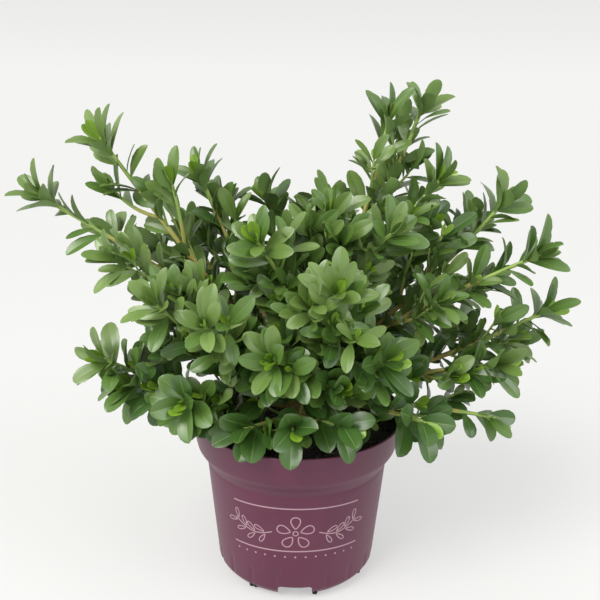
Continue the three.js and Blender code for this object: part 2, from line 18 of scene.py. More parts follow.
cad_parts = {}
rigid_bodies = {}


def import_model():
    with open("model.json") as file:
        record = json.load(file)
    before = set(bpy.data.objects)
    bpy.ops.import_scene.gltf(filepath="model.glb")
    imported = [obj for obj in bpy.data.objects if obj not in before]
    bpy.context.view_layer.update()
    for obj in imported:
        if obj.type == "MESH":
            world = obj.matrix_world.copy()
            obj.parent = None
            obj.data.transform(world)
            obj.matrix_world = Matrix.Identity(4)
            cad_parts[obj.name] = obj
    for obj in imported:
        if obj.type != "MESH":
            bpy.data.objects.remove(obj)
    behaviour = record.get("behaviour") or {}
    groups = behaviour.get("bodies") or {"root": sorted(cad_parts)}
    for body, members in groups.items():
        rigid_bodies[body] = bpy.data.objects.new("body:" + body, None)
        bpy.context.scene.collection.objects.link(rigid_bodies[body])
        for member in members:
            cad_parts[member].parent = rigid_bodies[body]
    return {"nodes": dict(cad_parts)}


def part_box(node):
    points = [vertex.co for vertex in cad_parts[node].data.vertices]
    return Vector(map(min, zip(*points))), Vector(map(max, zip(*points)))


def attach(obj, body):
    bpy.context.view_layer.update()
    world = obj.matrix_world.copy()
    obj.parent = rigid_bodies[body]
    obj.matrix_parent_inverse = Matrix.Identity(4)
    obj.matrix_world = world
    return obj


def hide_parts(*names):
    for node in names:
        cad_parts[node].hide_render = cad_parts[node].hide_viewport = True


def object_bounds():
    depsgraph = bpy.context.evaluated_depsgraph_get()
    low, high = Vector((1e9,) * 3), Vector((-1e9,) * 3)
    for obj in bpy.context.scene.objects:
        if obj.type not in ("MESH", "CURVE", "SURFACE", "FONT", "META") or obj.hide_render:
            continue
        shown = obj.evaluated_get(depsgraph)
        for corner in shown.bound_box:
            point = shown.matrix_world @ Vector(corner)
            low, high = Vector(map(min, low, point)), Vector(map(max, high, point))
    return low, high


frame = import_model()
cad_low, cad_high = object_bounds()
MM = 0.001
print(len(frame["nodes"]), "solids, size in mm:", [round(side / MM) for side in cad_high - cad_low])

# %% [markdown]
# ## Colours, nodes and pieces
# Blender's colour sockets hold linear values, while colours are read and compared as sRGB hex,
# so one function turns one into the other. One small function adds a shader node with its
# settings and its links. A last one scales a finished mesh from millimetres to metres and says
# what it stands for.

# %% Helpers for materials
def linear(code):
    """An sRGB hex colour as linear red, green, blue and alpha."""
    channels = [int(code[first:first + 2], 16) / 255 for first in (1, 3, 5)]
    return [c / 12.92 if c <= 0.04045 else ((c + 0.055) / 1.055) ** 2.4 for c in channels] + [1.0]


def add_node(tree, kind, inputs=None, **settings):
    """Adds a node, sets it, and gives each named input a value or the output that drives it."""
    node = tree.nodes.new(kind)
    for name, value in settings.items():
        setattr(node, name, value)
    for name, value in (inputs or {}).items():
        if isinstance(value, bpy.types.NodeSocket):
            tree.links.new(value, node.inputs[name])
        else:
            node.inputs[name].default_value = value
    return node


def new_material(name, colour, roughness, **more):
    """A material of one shader. What is the same all over sits on the shader's own socket."""
    material = bpy.data.materials.new(name)
    material.use_nodes = True
    shader = material.node_tree.nodes["Principled BSDF"]
    values = {"Base Color": linear(colour), "Roughness": roughness, **more}
    for socket, value in values.items():
        shader.inputs[socket].default_value = value
    return material, material.node_tree, shader


def millimetres(tree):
    """The place on the object in millimetres, so that a noise of scale 1 has grains of 1 mm."""
    place = add_node(tree, "ShaderNodeTexCoord").outputs["Object"]
    return add_node(tree, "ShaderNodeMapping", {"Vector": place, "Scale": [1 / MM] * 3})


def mix_colours(tree, share, first, second):
    """Two colours mixed by a share. Each is a hex code or the output of another node."""
    mix = add_node(tree, "ShaderNodeMix", data_type="RGBA")
    for place, value in (("Factor_Float", share), ("A_Color", first), ("B_Color", second)):
        socket = next(each for each in mix.inputs if each.identifier == place)
        if isinstance(value, bpy.types.NodeSocket):
            tree.links.new(value, socket)
        else:
            socket.default_value = linear(value)
    return next(each for each in mix.outputs if each.identifier == "Result_Color")


print("helpers for materials are ready")

# %% Helpers for pieces
BODY = "root"


def mesh_from(name, bm):
    """The finished bmesh as a smooth mesh with its faces turned outwards."""
    bmesh.ops.recalc_face_normals(bm, faces=bm.faces[:])
    mesh = bpy.data.meshes.new(name)
    bm.to_mesh(mesh)
    bm.free()
    mesh.shade_smooth()
    return mesh


def add_piece(name, mesh, materials, nodes):
    """A finished mesh in millimetres becomes a piece in metres that stands for the named solids."""
    mesh.transform(Matrix.Scale(MM, 4))
    for material in materials:
        mesh.materials.append(material)
    piece = bpy.data.objects.new(name, mesh)
    bpy.context.scene.collection.objects.link(piece)
    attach(piece, BODY)
    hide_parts(*nodes)
    mesh.calc_loop_triangles()
    print(f"{name}: {len(mesh.loop_triangles)} triangles, stands for {len(nodes)} solids")
    return piece


print("helpers for pieces are ready")

# %% [markdown]
# ## The camera
# The photograph was taken from a little above the crown. The round rim and the round foot of the
# pot are ellipses in it, and their shapes and sizes fix the camera: where it stood, how far it
# was tipped down and how long its lens was. A lens is given for a sensor 36 mm wide, so it
# follows from the picture's width and its focal length, both in pixels. Nothing is shifted or
# out of focus.

# %% Set the camera
PICTURE_WIDTH = 600
FOCAL_PIXELS = 750
SENSOR_WIDTH = 36
CAMERA_PLACE = Vector((0.0012, -0.618, 0.437))
CAMERA_PITCH = math.radians(16.8)
CAMERA_ROLL = math.radians(0.73)

camera_data = bpy.data.cameras.new("camera")
camera_data.sensor_width = SENSOR_WIDTH
camera_data.lens = FOCAL_PIXELS / PICTURE_WIDTH * SENSOR_WIDTH
camera = bpy.data.objects.new("camera", camera_data)
bpy.context.scene.collection.objects.link(camera)
tilt = Matrix.Rotation(math.pi / 2 - CAMERA_PITCH, 4, "X")
camera.matrix_world = Matrix.Translation(CAMERA_PLACE) @ tilt @ Matrix.Rotation(CAMERA_ROLL, 4, "Z")
bpy.context.scene.camera = camera
print("lens in mm:", camera_data.lens)

# %% [markdown]
# ## Floor and light
# The plant stands in a white room. The world lights it evenly from all sides, which keeps the
# shadows between the leaves soft, and two wide soft suns add the direction: one high at the left
# front, and a weaker one at the right. Area lamps would do as well on the plant, but they leave
# the far floor dark, and suns light all of it alike. So the floor's far edge is as bright as the
# world behind it and melts into it, and from there the world darkens a little upwards. Two small
# lamps brighten the floor at the front.

# %% Make the floor and the world
FLOOR_SIZE = 14.0
FLOOR_DROP = 0.0003
FLOOR_GLOW = 0.43
WORLD_COLOUR, HORIZON_COLOUR = "#eaeae8", "#f4f4f2"
WORLD_RISE = 0.09

floor_mesh = bpy.data.meshes.new("floor")
bm = bmesh.new()
bmesh.ops.create_grid(bm, x_segments=1, y_segments=1, size=FLOOR_SIZE / 2)
bmesh.ops.translate(bm, vec=(0, 0, -FLOOR_DROP), verts=bm.verts[:])
bm.to_mesh(floor_mesh)
bm.free()
# Matt white acrylic, lit a little from below, so that shadows on it stay pale, with no gloss.
glow = {"Emission Color": linear("#ffffff"), "Emission Strength": FLOOR_GLOW}
floor_material, _, _ = new_material("matt white acrylic", "#9c9c9b", 0.9, **glow)
floor_mesh.materials.append(floor_material)
floor = bpy.data.objects.new("floor", floor_mesh)
bpy.context.scene.collection.objects.link(floor)

world = bpy.data.worlds.new("white room")
world.use_nodes = True
sky = world.node_tree
direction = add_node(sky, "ShaderNodeTexCoord").outputs["Generated"]
rise = add_node(sky, "ShaderNodeSeparateXYZ", {"Vector": direction}).outputs["Z"]
up = add_node(sky, "ShaderNodeMapRange", {"Value": rise, "From Max": WORLD_RISE}).outputs["Result"]
shade = mix_colours(sky, up, HORIZON_COLOUR, WORLD_COLOUR)
sky.links.new(shade, sky.nodes["Background"].inputs["Color"])
bpy.context.scene.world = world
bpy.context.scene.view_settings.view_transform = "Standard"
print("floor", FLOOR_SIZE, "m wide")

# %% Add the lights
AIM = Vector((0, 0, 0.2))
# Each light's name, kind, place, strength, colour, and softness: a sun's angle or a lamp's width.
LIGHTS = [
    ("left daylight", "SUN", (-1.3, -1.4, 2.4), 1.6, "#fffdf6", {"angle": math.radians(30)}),
    ("right daylight", "SUN", (1.9, -0.9, 1.7), 0.55, "#f8fbff", {"angle": math.radians(34)}),
    ("left floor lamp", "AREA", (-0.8, -0.7, 0.9), 6.5, "#ffffff", {"size": 0.8}),
    ("right floor lamp", "AREA", (0.9, -0.6, 0.9), 3.5, "#ffffff", {"size": 0.8}),
]

for name, kind, place, strength, colour, softness in LIGHTS:
    data = bpy.data.lights.new(name, kind)
    data.energy = strength
    data.color = linear(colour)[:3]
    for setting, value in softness.items():
        setattr(data, setting, value)
    light = bpy.data.objects.new(name, data)
    turn = (AIM - Vector(place)).to_track_quat("-Z", "Y").to_matrix().to_4x4()
    light.matrix_world = Matrix.Translation(place) @ turn
    bpy.context.scene.collection.objects.link(light)
print(len(LIGHTS), "lights")

# %% [markdown]
# ## The pot's wall
# The pot is moulded from one thin sheet of plastic: a rounded heel, a body that widens evenly,
# and a collar that swells smoothly out to a nearly upright rim. One profile spun round the axis
# gives all of it, so the profile is worked out first: the outer radius at each height, then the
# same line drawn in by the wall's thickness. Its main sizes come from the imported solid's own
# box.

# %% The pot's profile
pot_low, pot_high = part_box("pot")
soil_low, soil_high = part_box("soil")
POT_HEIGHT = pot_high.z / MM
RIM_RADIUS = (pot_high.x - pot_low.x) / 2 / MM
POT_WALL = 1.8
HEEL_HEIGHT = 10
HEEL_RADIUS = 72
HEEL_INSET = 9
HEEL_ROUNDNESS = 1.2
NECK_HEIGHT = 108
NECK_RADIUS = 81.2
COLLAR_RADIUS = 89.4
COLLAR_BOTTOM = 121
SWELL_FROM, SWELL_TO = 107, 123
CREASE_HEIGHT = 106.5
CREASE_DEPTH = 0.4
CREASE_REACH = 1.3


def between(low, high, share):
    """The value at a share of the way from one to another."""
    return low + (high - low) * share


def eased(share):
    """0 below 0, 1 above 1, and a smooth step from one to the other."""
    share = min(1, max(0, share))
    return share * share * (3 - 2 * share)


def outer_radius(height):
    """The pot's outer radius at a height, both in mm."""
    body = between(HEEL_RADIUS, NECK_RADIUS, (height - HEEL_HEIGHT) / (NECK_HEIGHT - HEEL_HEIGHT))
    collar_share = (height - COLLAR_BOTTOM) / (POT_HEIGHT - COLLAR_BOTTOM)
    collar = between(COLLAR_RADIUS, RIM_RADIUS, collar_share)
    radius = between(body, collar, eased((height - SWELL_FROM) / (SWELL_TO - SWELL_FROM)))
    radius -= CREASE_DEPTH * math.exp(-(((height - CREASE_HEIGHT) / CREASE_REACH) ** 2))
    if height < HEEL_HEIGHT:
        drop = ((HEEL_HEIGHT - height) / HEEL_HEIGHT) ** HEEL_ROUNDNESS
        radius -= HEEL_INSET * (1 - max(0, 1 - drop) ** (1 / HEEL_ROUNDNESS))
    return radius


print("radius at foot, neck and rim:", [round(outer_radius(h), 1) for h in (0, 105, POT_HEIGHT)])

# %% Spin the pot
SPIN_STEPS = 360
RING_INNER, RING_HEIGHT, RING_SLOPE = 57, 13, 1.5
POT_FLOOR = RING_HEIGHT + POT_WALL
LIP_STEPS = 6
INNER_STEP = 10
# Where the outer wall has rings of points: from, to and step. They are closest at its curves.
WALL_RINGS = (
    (0, HEEL_HEIGHT, 1.25),
    (HEEL_HEIGHT, SWELL_FROM - 3, 3),
    (SWELL_FROM - 2, SWELL_TO, 1),
    (SWELL_TO + 1, POT_HEIGHT - POT_WALL / 2, 3),
)


def pot_profile():
    """Points (radius, height) from the underside's middle, over the rim, to the inside's middle."""
    points = [(0, RING_HEIGHT), (RING_INNER, RING_HEIGHT), (RING_INNER + RING_SLOPE, 0)]
    points += [(outer_radius(height), height) for band in WALL_RINGS for height in np.arange(*band)]
    lip = POT_WALL / 2
    for step in range(LIP_STEPS + 1):
        angle = math.pi * step / LIP_STEPS
        middle = outer_radius(POT_HEIGHT) - lip
        points.append((middle + lip * math.cos(angle), POT_HEIGHT - lip + lip * math.sin(angle)))
    inner = list(np.arange(POT_HEIGHT - INNER_STEP, HEEL_HEIGHT, -INNER_STEP))
    points += [(outer_radius(height) - POT_WALL, height) for height in inner]
    return points + [(outer_radius(POT_FLOOR) - POT_WALL, POT_FLOOR), (0, POT_FLOOR)]


def spun(profile, steps):
    """A closed body of revolution. The profile's first and last points lie on the axis."""
    made = bmesh.new()
    line = [made.verts.new((radius, 0, height)) for radius, height in profile]
    edges = [made.edges.new(pair) for pair in zip(line, line[1:])]
    bmesh.ops.spin(made, geom=line + edges, axis=(0, 0, 1), cent=(0, 0, 0), angle=math.tau,
                   steps=steps, use_merge=True)
    bmesh.ops.remove_doubles(made, verts=made.verts[:], dist=0.0005)
    return made


pot_bm = spun(pot_profile(), SPIN_STEPS)
print("pot:", len(pot_bm.verts), "points")

# %% [markdown]
# Round the heel runs a row of shallow upright flutes that stiffen the plastic where the wall
# meets the floor. They could be cut, but they are soft hollows with no edge, so the points of
# the wall are simply moved inwards by a smooth bump. The four arched notches in the foot ring
# let water run out from under the pot, whose floor is raised inside the ring. They do have sharp
# edges, so they are cut with a Boolean modifier: a box with rounded corners, laid through the
# ring at each notch.

# %% Flutes at the heel
FLUTE_COUNT = 20
FLUTE_WIDTH = 6.5
FLUTE_DEPTH = 0.7
FLUTE_FROM, FLUTE_TO = 7, 31
FLUTE_TURN = math.radians(4.5)
FLUTE_END = 4

for vertex in pot_bm.verts:
    x, y, height = vertex.co
    radius = math.hypot(x, y)
    if FLUTE_FROM < height < FLUTE_TO and radius > outer_radius(height) - POT_WALL / 2:
        turns = (math.atan2(y, x) + math.pi / 2 - FLUTE_TURN) / math.tau * FLUTE_COUNT
        off = abs(turns - round(turns)) * math.tau / FLUTE_COUNT * radius
        side = math.cos(min(1, off / (FLUTE_WIDTH / 2)) * math.pi / 2) ** 2
        ends = eased((height - FLUTE_FROM) / FLUTE_END)
        ends *= eased((FLUTE_TO - height) / (2 * FLUTE_END))
        share = 1 - FLUTE_DEPTH * side * ends / radius
        vertex.co.x *= share
        vertex.co.y *= share
print(FLUTE_COUNT, "flutes,", FLUTE_DEPTH, "mm deep")

# %% Notches in the foot ring
NOTCH_COUNT = 4
NOTCH_WIDTH = 30
NOTCH_HEIGHT = 14
NOTCH_DEPTH = 17
NOTCH_CORNER = 3.5
SHARP_ANGLE = math.radians(38)

pot_mesh = mesh_from("pot", pot_bm)
cutter_bm = bmesh.new()
for number in range(NOTCH_COUNT):
    turn = Matrix.Rotation(math.tau * number / NOTCH_COUNT - math.pi / 2, 4, "Z")
    size = Matrix.Diagonal((2 * NOTCH_DEPTH, NOTCH_WIDTH, 2 * NOTCH_HEIGHT, 1))
    place = turn @ Matrix.Translation((HEEL_RADIUS, 0, 0)) @ size
    box = bmesh.ops.create_cube(cutter_bm, size=1, matrix=place)
    outwards = turn @ Vector((1, 0, 0))
    edges = {edge for vertex in box["verts"] for edge in vertex.link_edges}
    long_edges = [edge for edge in edges
                  if abs((edge.verts[0].co - edge.verts[1].co).normalized() @ outwards) > 0.9]
    bmesh.ops.bevel(cutter_bm, geom=long_edges, offset=NOTCH_CORNER, affect="EDGES", segments=6,
                    profile=0.5, material=-1)
cutter = bpy.data.objects.new("cutter", mesh_from("cutter", cutter_bm))
uncut = bpy.data.objects.new("uncut pot", pot_mesh)
for each in (cutter, uncut):
    bpy.context.scene.collection.objects.link(each)
cut = uncut.modifiers.new("notches", "BOOLEAN")
cut.operation = "DIFFERENCE"
cut.solver = "EXACT"
cut.object = cutter
bpy.context.view_layer.update()
finished = uncut.evaluated_get(bpy.context.evaluated_depsgraph_get())
pot_mesh = bpy.data.meshes.new_from_object(finished)
for each in (cutter, uncut):
    bpy.data.objects.remove(each)
pot_mesh.materials.clear()
pot_mesh.set_sharp_from_angle(angle=SHARP_ANGLE)
print(NOTCH_COUNT, "notches,", len(pot_mesh.polygons), "faces on the pot")

# %% [markdown]
# ## Burgundy plastic
# The pot is injection-moulded polypropylene, coloured right through: a satin wine red that turns
# greyer where it mirrors the white room. Close up it has a fine moulded grain, a cloudy haze,
# and pale scuffs low down, where pots rub against one another. Noise mixes the haze and the
# scuffs, and the grain is a bump. Grains are 0.4 mm on the pot, and drawn at 0.9 mm so that they
# show at all.

# %% The pot's material
HAZE_SIZE = 42
SCUFF_SIZE = 5
GRAIN_SIZE = 0.9


def burgundy_polypropylene():
    material, tree, shader = new_material("burgundy polypropylene", "#59283d", 0.4, IOR=1.49,
                                          **{"Specular IOR Level": 0.42})
    place = millimetres(tree).outputs["Vector"]
    haze = add_node(tree, "ShaderNodeTexNoise",
                    {"Vector": place, "Scale": 1 / HAZE_SIZE, "Detail": 3})
    stretched = add_node(tree, "ShaderNodeMapping", {"Vector": place, "Scale": (1, 1, 0.3)})
    scuff = add_node(tree, "ShaderNodeTexNoise",
                     {"Vector": stretched.outputs["Vector"], "Scale": 1 / SCUFF_SIZE, "Detail": 6})
    scuffed = add_node(tree, "ShaderNodeMapRange", {"Value": scuff.outputs["Fac"], "From Min": 0.64,
                                                    "From Max": 0.9, "To Max": 0.4})
    cloudy = mix_colours(tree, haze.outputs["Fac"], "#502138", "#602c43")
    colour = mix_colours(tree, scuffed.outputs["Result"], cloudy, "#75485a")
    tree.links.new(colour, shader.inputs["Base Color"])
    gloss = add_node(tree, "ShaderNodeMapRange",
                     {"Value": haze.outputs["Fac"], "To Min": 0.32, "To Max": 0.5})
    tree.links.new(gloss.outputs["Result"], shader.inputs["Roughness"])
    grain = add_node(tree, "ShaderNodeTexNoise", {"Vector": place, "Scale": 1 / GRAIN_SIZE})
    bump = add_node(tree, "ShaderNodeBump",
                    {"Height": grain.outputs["Fac"], "Strength": 0.25, "Distance": 0.05 * MM})
    tree.links.new(bump.outputs["Normal"], shader.inputs["Normal"])
    return material


pot_plastic = burgundy_polypropylene()
add_piece("nursery_pot", pot_mesh, [pot_plastic], ["pot"])

# %% [markdown]
# ## The printed ornament
# The front of the pot carries a one-colour print. Here it is a plain garland between two border
# lines: a flower in the middle, a leafy vine to either side, and a row of dots below. It could
# be a painted mask, but an exported model keeps real shapes better, so each line is a very thin
# raised strip. The strips are drawn flat, as distance round the pot and height, and then wrapped
# onto the wall.

# %% Draw the ornament flat
LINE_WIDTH = 1.2
THIN_LINE, THINNEST_LINE = LINE_WIDTH * 0.8, LINE_WIDTH * 0.7
FLOWER_HEIGHT = 71
PETALS = 5
PETAL_LENGTH = 12.5
PETAL_WIDTH = 10.5
PETAL_FOOT = 4.2
EYE_RADIUS = 2.6
VINE_FROM, VINE_TO = 20, 55
VINE_SAG = 6
VINE_RISE = 5
LEAF_PAIRS = 4
LEAF_LEAN = 0.75
LEAF_STALK = 1.6
PRINT_LEAF = (10.5, 5)
BORDER_HALF = 57
BORDER_HEIGHTS = (93, 50)
BORDER_ARCH = 2.5
DOT_HEIGHT = 44
DOT_RADIUS = 0.9
DOTS = 13

print_bm = bmesh.new()


def ribbon(path, width, steps):
    """A flat strip of even width along path, which gives a point for each share of its length."""
    grid = bmesh.ops.create_grid(print_bm, x_segments=steps, y_segments=1, size=0.5)
    for vertex in grid["verts"]:
        share = vertex.co.x + 0.5
        here, ahead = Vector(path(share)), Vector(path(share + 0.001))
        left = (ahead - here).normalized().orthogonal()
        vertex.co.xy = here + left * vertex.co.y * width


def outline(shape, width, steps):
    """An even line round a closed shape: a filled ring, inset, with its middle taken out."""
    ring = bmesh.ops.create_circle(print_bm, cap_ends=True, radius=1, segments=steps)
    for vertex in ring["verts"]:
        vertex.co.xy = shape(math.atan2(vertex.co.y, vertex.co.x))
    print_bm.normal_update()
    middle = ring["verts"][0].link_faces[0]
    bmesh.ops.inset_individual(print_bm, faces=[middle], thickness=width, use_even_offset=True)
    bmesh.ops.delete(print_bm, geom=[middle], context="FACES")


def blade(foot, turn, length, width):
    """A leaf or petal outline with its foot at a point, as a shape for outline()."""
    def shape(angle):
        along = length * (1 + math.cos(angle)) / 2
        off = width / 2 * math.sin(angle) * math.sqrt(along / length + 0.15)
        return Vector(foot) + Matrix.Rotation(turn, 2) @ Vector((along, off))
    return shape


def disc(across, height, radius):
    """A round outline, as a shape for outline()."""
    def shape(angle):
        return Vector((across + radius * math.cos(angle), height + radius * math.sin(angle)))
    return shape


def vine(side):
    """One half of the garland, as a path that sags between its ends."""
    def path(share):
        height = FLOWER_HEIGHT - VINE_SAG * math.sin(math.pi * share) + VINE_RISE * share
        return side * between(VINE_FROM, VINE_TO, share), height
    return path


def border(height):
    """A border line that arches up a little in the middle, as a path for ribbon()."""
    return lambda share: (between(-BORDER_HALF, BORDER_HALF, share),
                          height + BORDER_ARCH * math.sin(math.pi * share))


for number in range(PETALS):
    turn = math.pi / 2 + math.tau * number / PETALS
    foot = (PETAL_FOOT * math.cos(turn), FLOWER_HEIGHT + PETAL_FOOT * math.sin(turn))
    outline(blade(foot, turn, PETAL_LENGTH, PETAL_WIDTH), THIN_LINE, 26)
outline(disc(0, FLOWER_HEIGHT, EYE_RADIUS), THINNEST_LINE, 20)
for side in (-1, 1):
    path = vine(side)
    ribbon(path, THIN_LINE, 40)
    for pair in range(LEAF_PAIRS):
        share = (pair + 0.6) / LEAF_PAIRS
        here, ahead = Vector(path(share)), Vector(path(share + 0.01))
        heading = math.atan2(ahead.y - here.y, ahead.x - here.x)
        for lean in (-LEAF_LEAN, LEAF_LEAN):
            start = here + Matrix.Rotation(heading + lean, 2) @ Vector((LEAF_STALK, 0))
            outline(blade(start, heading + lean, *PRINT_LEAF), THINNEST_LINE, 22)
for height in BORDER_HEIGHTS:
    ribbon(border(height), LINE_WIDTH, 76)
for number in range(DOTS):
    share = (number + 0.5) / DOTS
    across, height = border(DOT_HEIGHT)(share)
    bmesh.ops.create_circle(print_bm, cap_ends=True, radius=DOT_RADIUS, segments=14,
                            matrix=Matrix.Translation((across, height, 0)))
print("ornament:", len(print_bm.faces), "flat faces")

# %% Wrap the ornament round the pot
PRINT_PROUD = 0.08
PRINT_SUNK = 0.25

print_bm.normal_update()
bmesh.ops.reverse_faces(print_bm, faces=[face for face in print_bm.faces if face.normal.z < 0])
bmesh.ops.solidify(print_bm, geom=print_bm.faces[:], thickness=1)
low_side = min(vertex.co.z for vertex in print_bm.verts)
high_side = max(vertex.co.z for vertex in print_bm.verts)
for vertex in print_bm.verts:
    across, height, depth = vertex.co
    raised = (depth - low_side) / (high_side - low_side)
    radius = outer_radius(height) + between(-PRINT_SUNK, PRINT_PROUD, raised)
    angle = across / outer_radius(height) - math.pi / 2
    vertex.co = (radius * math.cos(angle), radius * math.sin(angle), height)
# Matt printing ink, which sits on the plastic and is a little duller than it.
print_ink, _, _ = new_material("matt mauve printing ink", "#a5868f", 0.55)
ornament_mesh = mesh_from("ornament", print_bm)
ornament_mesh.set_sharp_from_angle(angle=math.radians(30))
add_piece("printed_ornament", ornament_mesh, [print_ink], ["pot"])

# %% [markdown]
# ## The peat
# Potting peat is a dark, crumbly mix: nearly black when moist, with lumps, crumbs and a few pale
# fibres. A spun body fills the pot and gets a rolling top from noise. Hundreds of loose crumbs
# then lie on it. Each is the same small ball of twenty faces, squeezed and turned by chance, and
# all of them are one mesh made from arrays, because separate objects would be slow.

# %% Chance that depends only on its keys
MASK = 0xFFFFFFFF


def chance(*keys):
    """A number from 0 to 1 that depends only on its whole-number keys."""
    state = 2166136261
    for key in keys:
        state = ((state ^ (key + 1)) * 16777619) & MASK
        state ^= state >> 15
        state = (state * 2246822519) & MASK
        state ^= state >> 13
    return state / 2 ** 32


def spread(low, high, *keys):
    """A number between two limits that depends only on its keys."""
    return low + (high - low) * chance(*keys)


print("chance of keys 1, 2, 3:", round(chance(1, 2, 3), 3))

# %% The body of peat
SOIL_EDGE = 135
SOIL_CROWN = soil_high.z / MM
SOIL_GAP = 0.4
SOIL_STEPS = 120
LUMP_SIZE = 9
LUMP_HEIGHT = 1.6
CRUMB_RELIEF, RELIEF_SIZE = 0.8, 2.6
SOIL_REACH = 92
SOIL_RINGS = 46


def soil_height(x, y):
    """The height of the peat's rolling top over a place."""
    radius = math.hypot(x, y)
    flat = between(SOIL_CROWN - 1, SOIL_EDGE - 1, eased(radius / SOIL_REACH))
    lumps = LUMP_HEIGHT * noise.noise(Vector((x, y, 7)) / LUMP_SIZE)
    return flat + lumps + CRUMB_RELIEF * noise.noise(Vector((x, y, 31)) / RELIEF_SIZE)


SOIL_LEVELS = (POT_FLOOR + SOIL_GAP, 12, 40, 80, 105, 112, 118, 124, 133)
soil_profile = [(0, SOIL_LEVELS[0])]
soil_profile += [(outer_radius(level) - POT_WALL - SOIL_GAP, level) for level in SOIL_LEVELS]
flat_edge = soil_profile[-1][0] - 0.6
soil_profile += [(radius, SOIL_EDGE - 1) for radius in np.linspace(flat_edge, 0, SOIL_RINGS)]
soil_bm = spun(soil_profile, SOIL_STEPS)
for vertex in soil_bm.verts:
    if vertex.co.z > SOIL_EDGE - 1.5:
        vertex.co.z = soil_height(vertex.co.x, vertex.co.y)
print("peat:", len(soil_bm.verts), "points")

# %% Peat's material
PEAT_GRAIN = 1.6


def moist_peat():
    # Moist peat: matt, nearly black, with brown grains.
    material, tree, shader = new_material("moist peat", "#1d1a18", 0.95)
    place = millimetres(tree).outputs["Vector"]
    grain = add_node(tree, "ShaderNodeTexNoise",
                     {"Vector": place, "Scale": 1 / PEAT_GRAIN, "Detail": 5})
    sharp = add_node(tree, "ShaderNodeMapRange",
                     {"Value": grain.outputs["Fac"], "From Min": 0.4, "From Max": 0.7})
    tree.links.new(mix_colours(tree, sharp.outputs["Result"], "#141211", "#2f2722"),
                   shader.inputs["Base Color"])
    bump = add_node(tree, "ShaderNodeBump",
                    {"Height": grain.outputs["Fac"], "Strength": 0.8, "Distance": 0.8 * MM})
    tree.links.new(bump.outputs["Normal"], shader.inputs["Normal"])
    return material


peat = moist_peat()
add_piece("peat", mesh_from("peat", soil_bm), [peat], ["soil"])

# %% Joined copies of one shape
def joined(name, points, faces, kinds, outline=()):
    """One mesh of many copies. points holds each copy's points, faces is one copy's, and kinds is
    the material of each face. The edges between two outline points of a copy are sharp."""
    copies, each = points.shape[:2]
    mesh = bpy.data.meshes.new(name)
    firsts = range(0, copies * each, each)
    mesh.from_pydata(points.reshape(-1, 3).tolist(), [],
                     [[first + corner for corner in face] for first in firsts for face in faces])
    mesh.polygons.foreach_set("material_index", np.asarray(kinds, np.int32).ravel())
    mesh.shade_smooth()
    if len(outline):
        flags = np.zeros(each, bool)
        flags[list(outline)] = True
        ends = np.empty(2 * len(mesh.edges), np.int32)
        mesh.edges.foreach_get("vertices", ends)
        sharp = np.tile(flags, copies)[ends].reshape(-1, 2).all(1)
        mesh.attributes.new("sharp_edge", "BOOLEAN", "EDGE").data.foreach_set("value", sharp)
    return mesh


def ball():
    """The points and faces of a ball of twenty faces."""
    made = bmesh.new()
    bmesh.ops.create_icosphere(made, subdivisions=1, radius=1)
    points = np.array([vertex.co[:] for vertex in made.verts])
    faces = [[vertex.index for vertex in face.verts] for face in made.faces]
    made.free()
    return points, faces


ball_points, ball_faces = ball()
print("a ball has", len(ball_faces), "faces")

# %% Crumbs, fibres and the crumbs that cling to the foot
CRUMB_COLOURS = {"black peat crumb": "#161413", "brown peat crumb": "#2e2620",
                 "pale bark crumb": "#6f5f4b", "pale root fibre": "#8d7c62"}
BLACK, FIBRE = 0, 3
# Crumbs are black or brown, and one in about eighteen is pale.
CRUMB_KINDS = 2.12
CRUMBS, FIBRES = 950, 46
CRUMB_REACH = 87
CRUMB_RADIUS, FIBRE_RADIUS = (0.7, 2.3), 0.35
FIBRE_STRETCH = (8, 16)
CLINGING_AT = (-32, 14)
CLINGING_CRUMBS = 5
CLINGING_RADIUS = (1.2, 2.6)


def crumb(place, radius, stretch, *keys):
    """One crumb's points: the ball, squeezed, roughened, turned by chance and put in its place."""
    size = radius * np.array([stretch, spread(0.6, 1, *keys, 1), spread(0.5, 0.9, *keys, 2)])
    rough = np.array([[spread(0.75, 1.2, *keys, 3, i)] for i in range(len(ball_points))])
    turn = Matrix.Rotation(spread(0, math.tau, *keys, 4), 3, "Z")
    lean = Matrix.Rotation(spread(-0.5, 0.5, *keys, 5), 3, "Y")
    return (ball_points * rough * size) @ np.array(turn @ lean).T + place


crumbs, crumb_kinds = [], []
for number in range(CRUMBS + FIBRES):
    turn, out = spread(0, math.tau, 900, number), CRUMB_REACH * math.sqrt(chance(901, number))
    x, y = out * math.cos(turn), out * math.sin(turn)
    fibre = number >= CRUMBS
    radius = FIBRE_RADIUS if fibre else between(*CRUMB_RADIUS, chance(902, number) ** 2)
    stretch = spread(*FIBRE_STRETCH, 903, number) if fibre else 1
    place = (x, y, soil_height(x, y) + radius * 0.3)
    crumbs.append(crumb(place, radius, stretch, 904, number))
    crumb_kinds.append(FIBRE if fibre else int(chance(905, number) * CRUMB_KINDS))
for notch in range(NOTCH_COUNT):
    for number in range(CLINGING_CRUMBS * len(CLINGING_AT)):
        off = math.radians(CLINGING_AT[number // CLINGING_CRUMBS])
        off += spread(-0.04, 0.04, 906, notch, number)
        angle = math.tau * notch / NOTCH_COUNT - math.pi / 2 + off
        radius = spread(*CLINGING_RADIUS, 907, notch, number)
        height = radius * 1.25 + spread(0, 2.6, 908, notch, number)
        out = outer_radius(height)
        place = (out * math.cos(angle), out * math.sin(angle), height)
        crumbs.append(crumb(place, radius, 1.1, 909, notch, number))
        crumb_kinds.append(BLACK)
crumb_kinds = np.repeat(np.array(crumb_kinds)[:, None], len(ball_faces), 1)
crumb_mesh = joined("crumbs", np.array(crumbs), ball_faces, crumb_kinds)
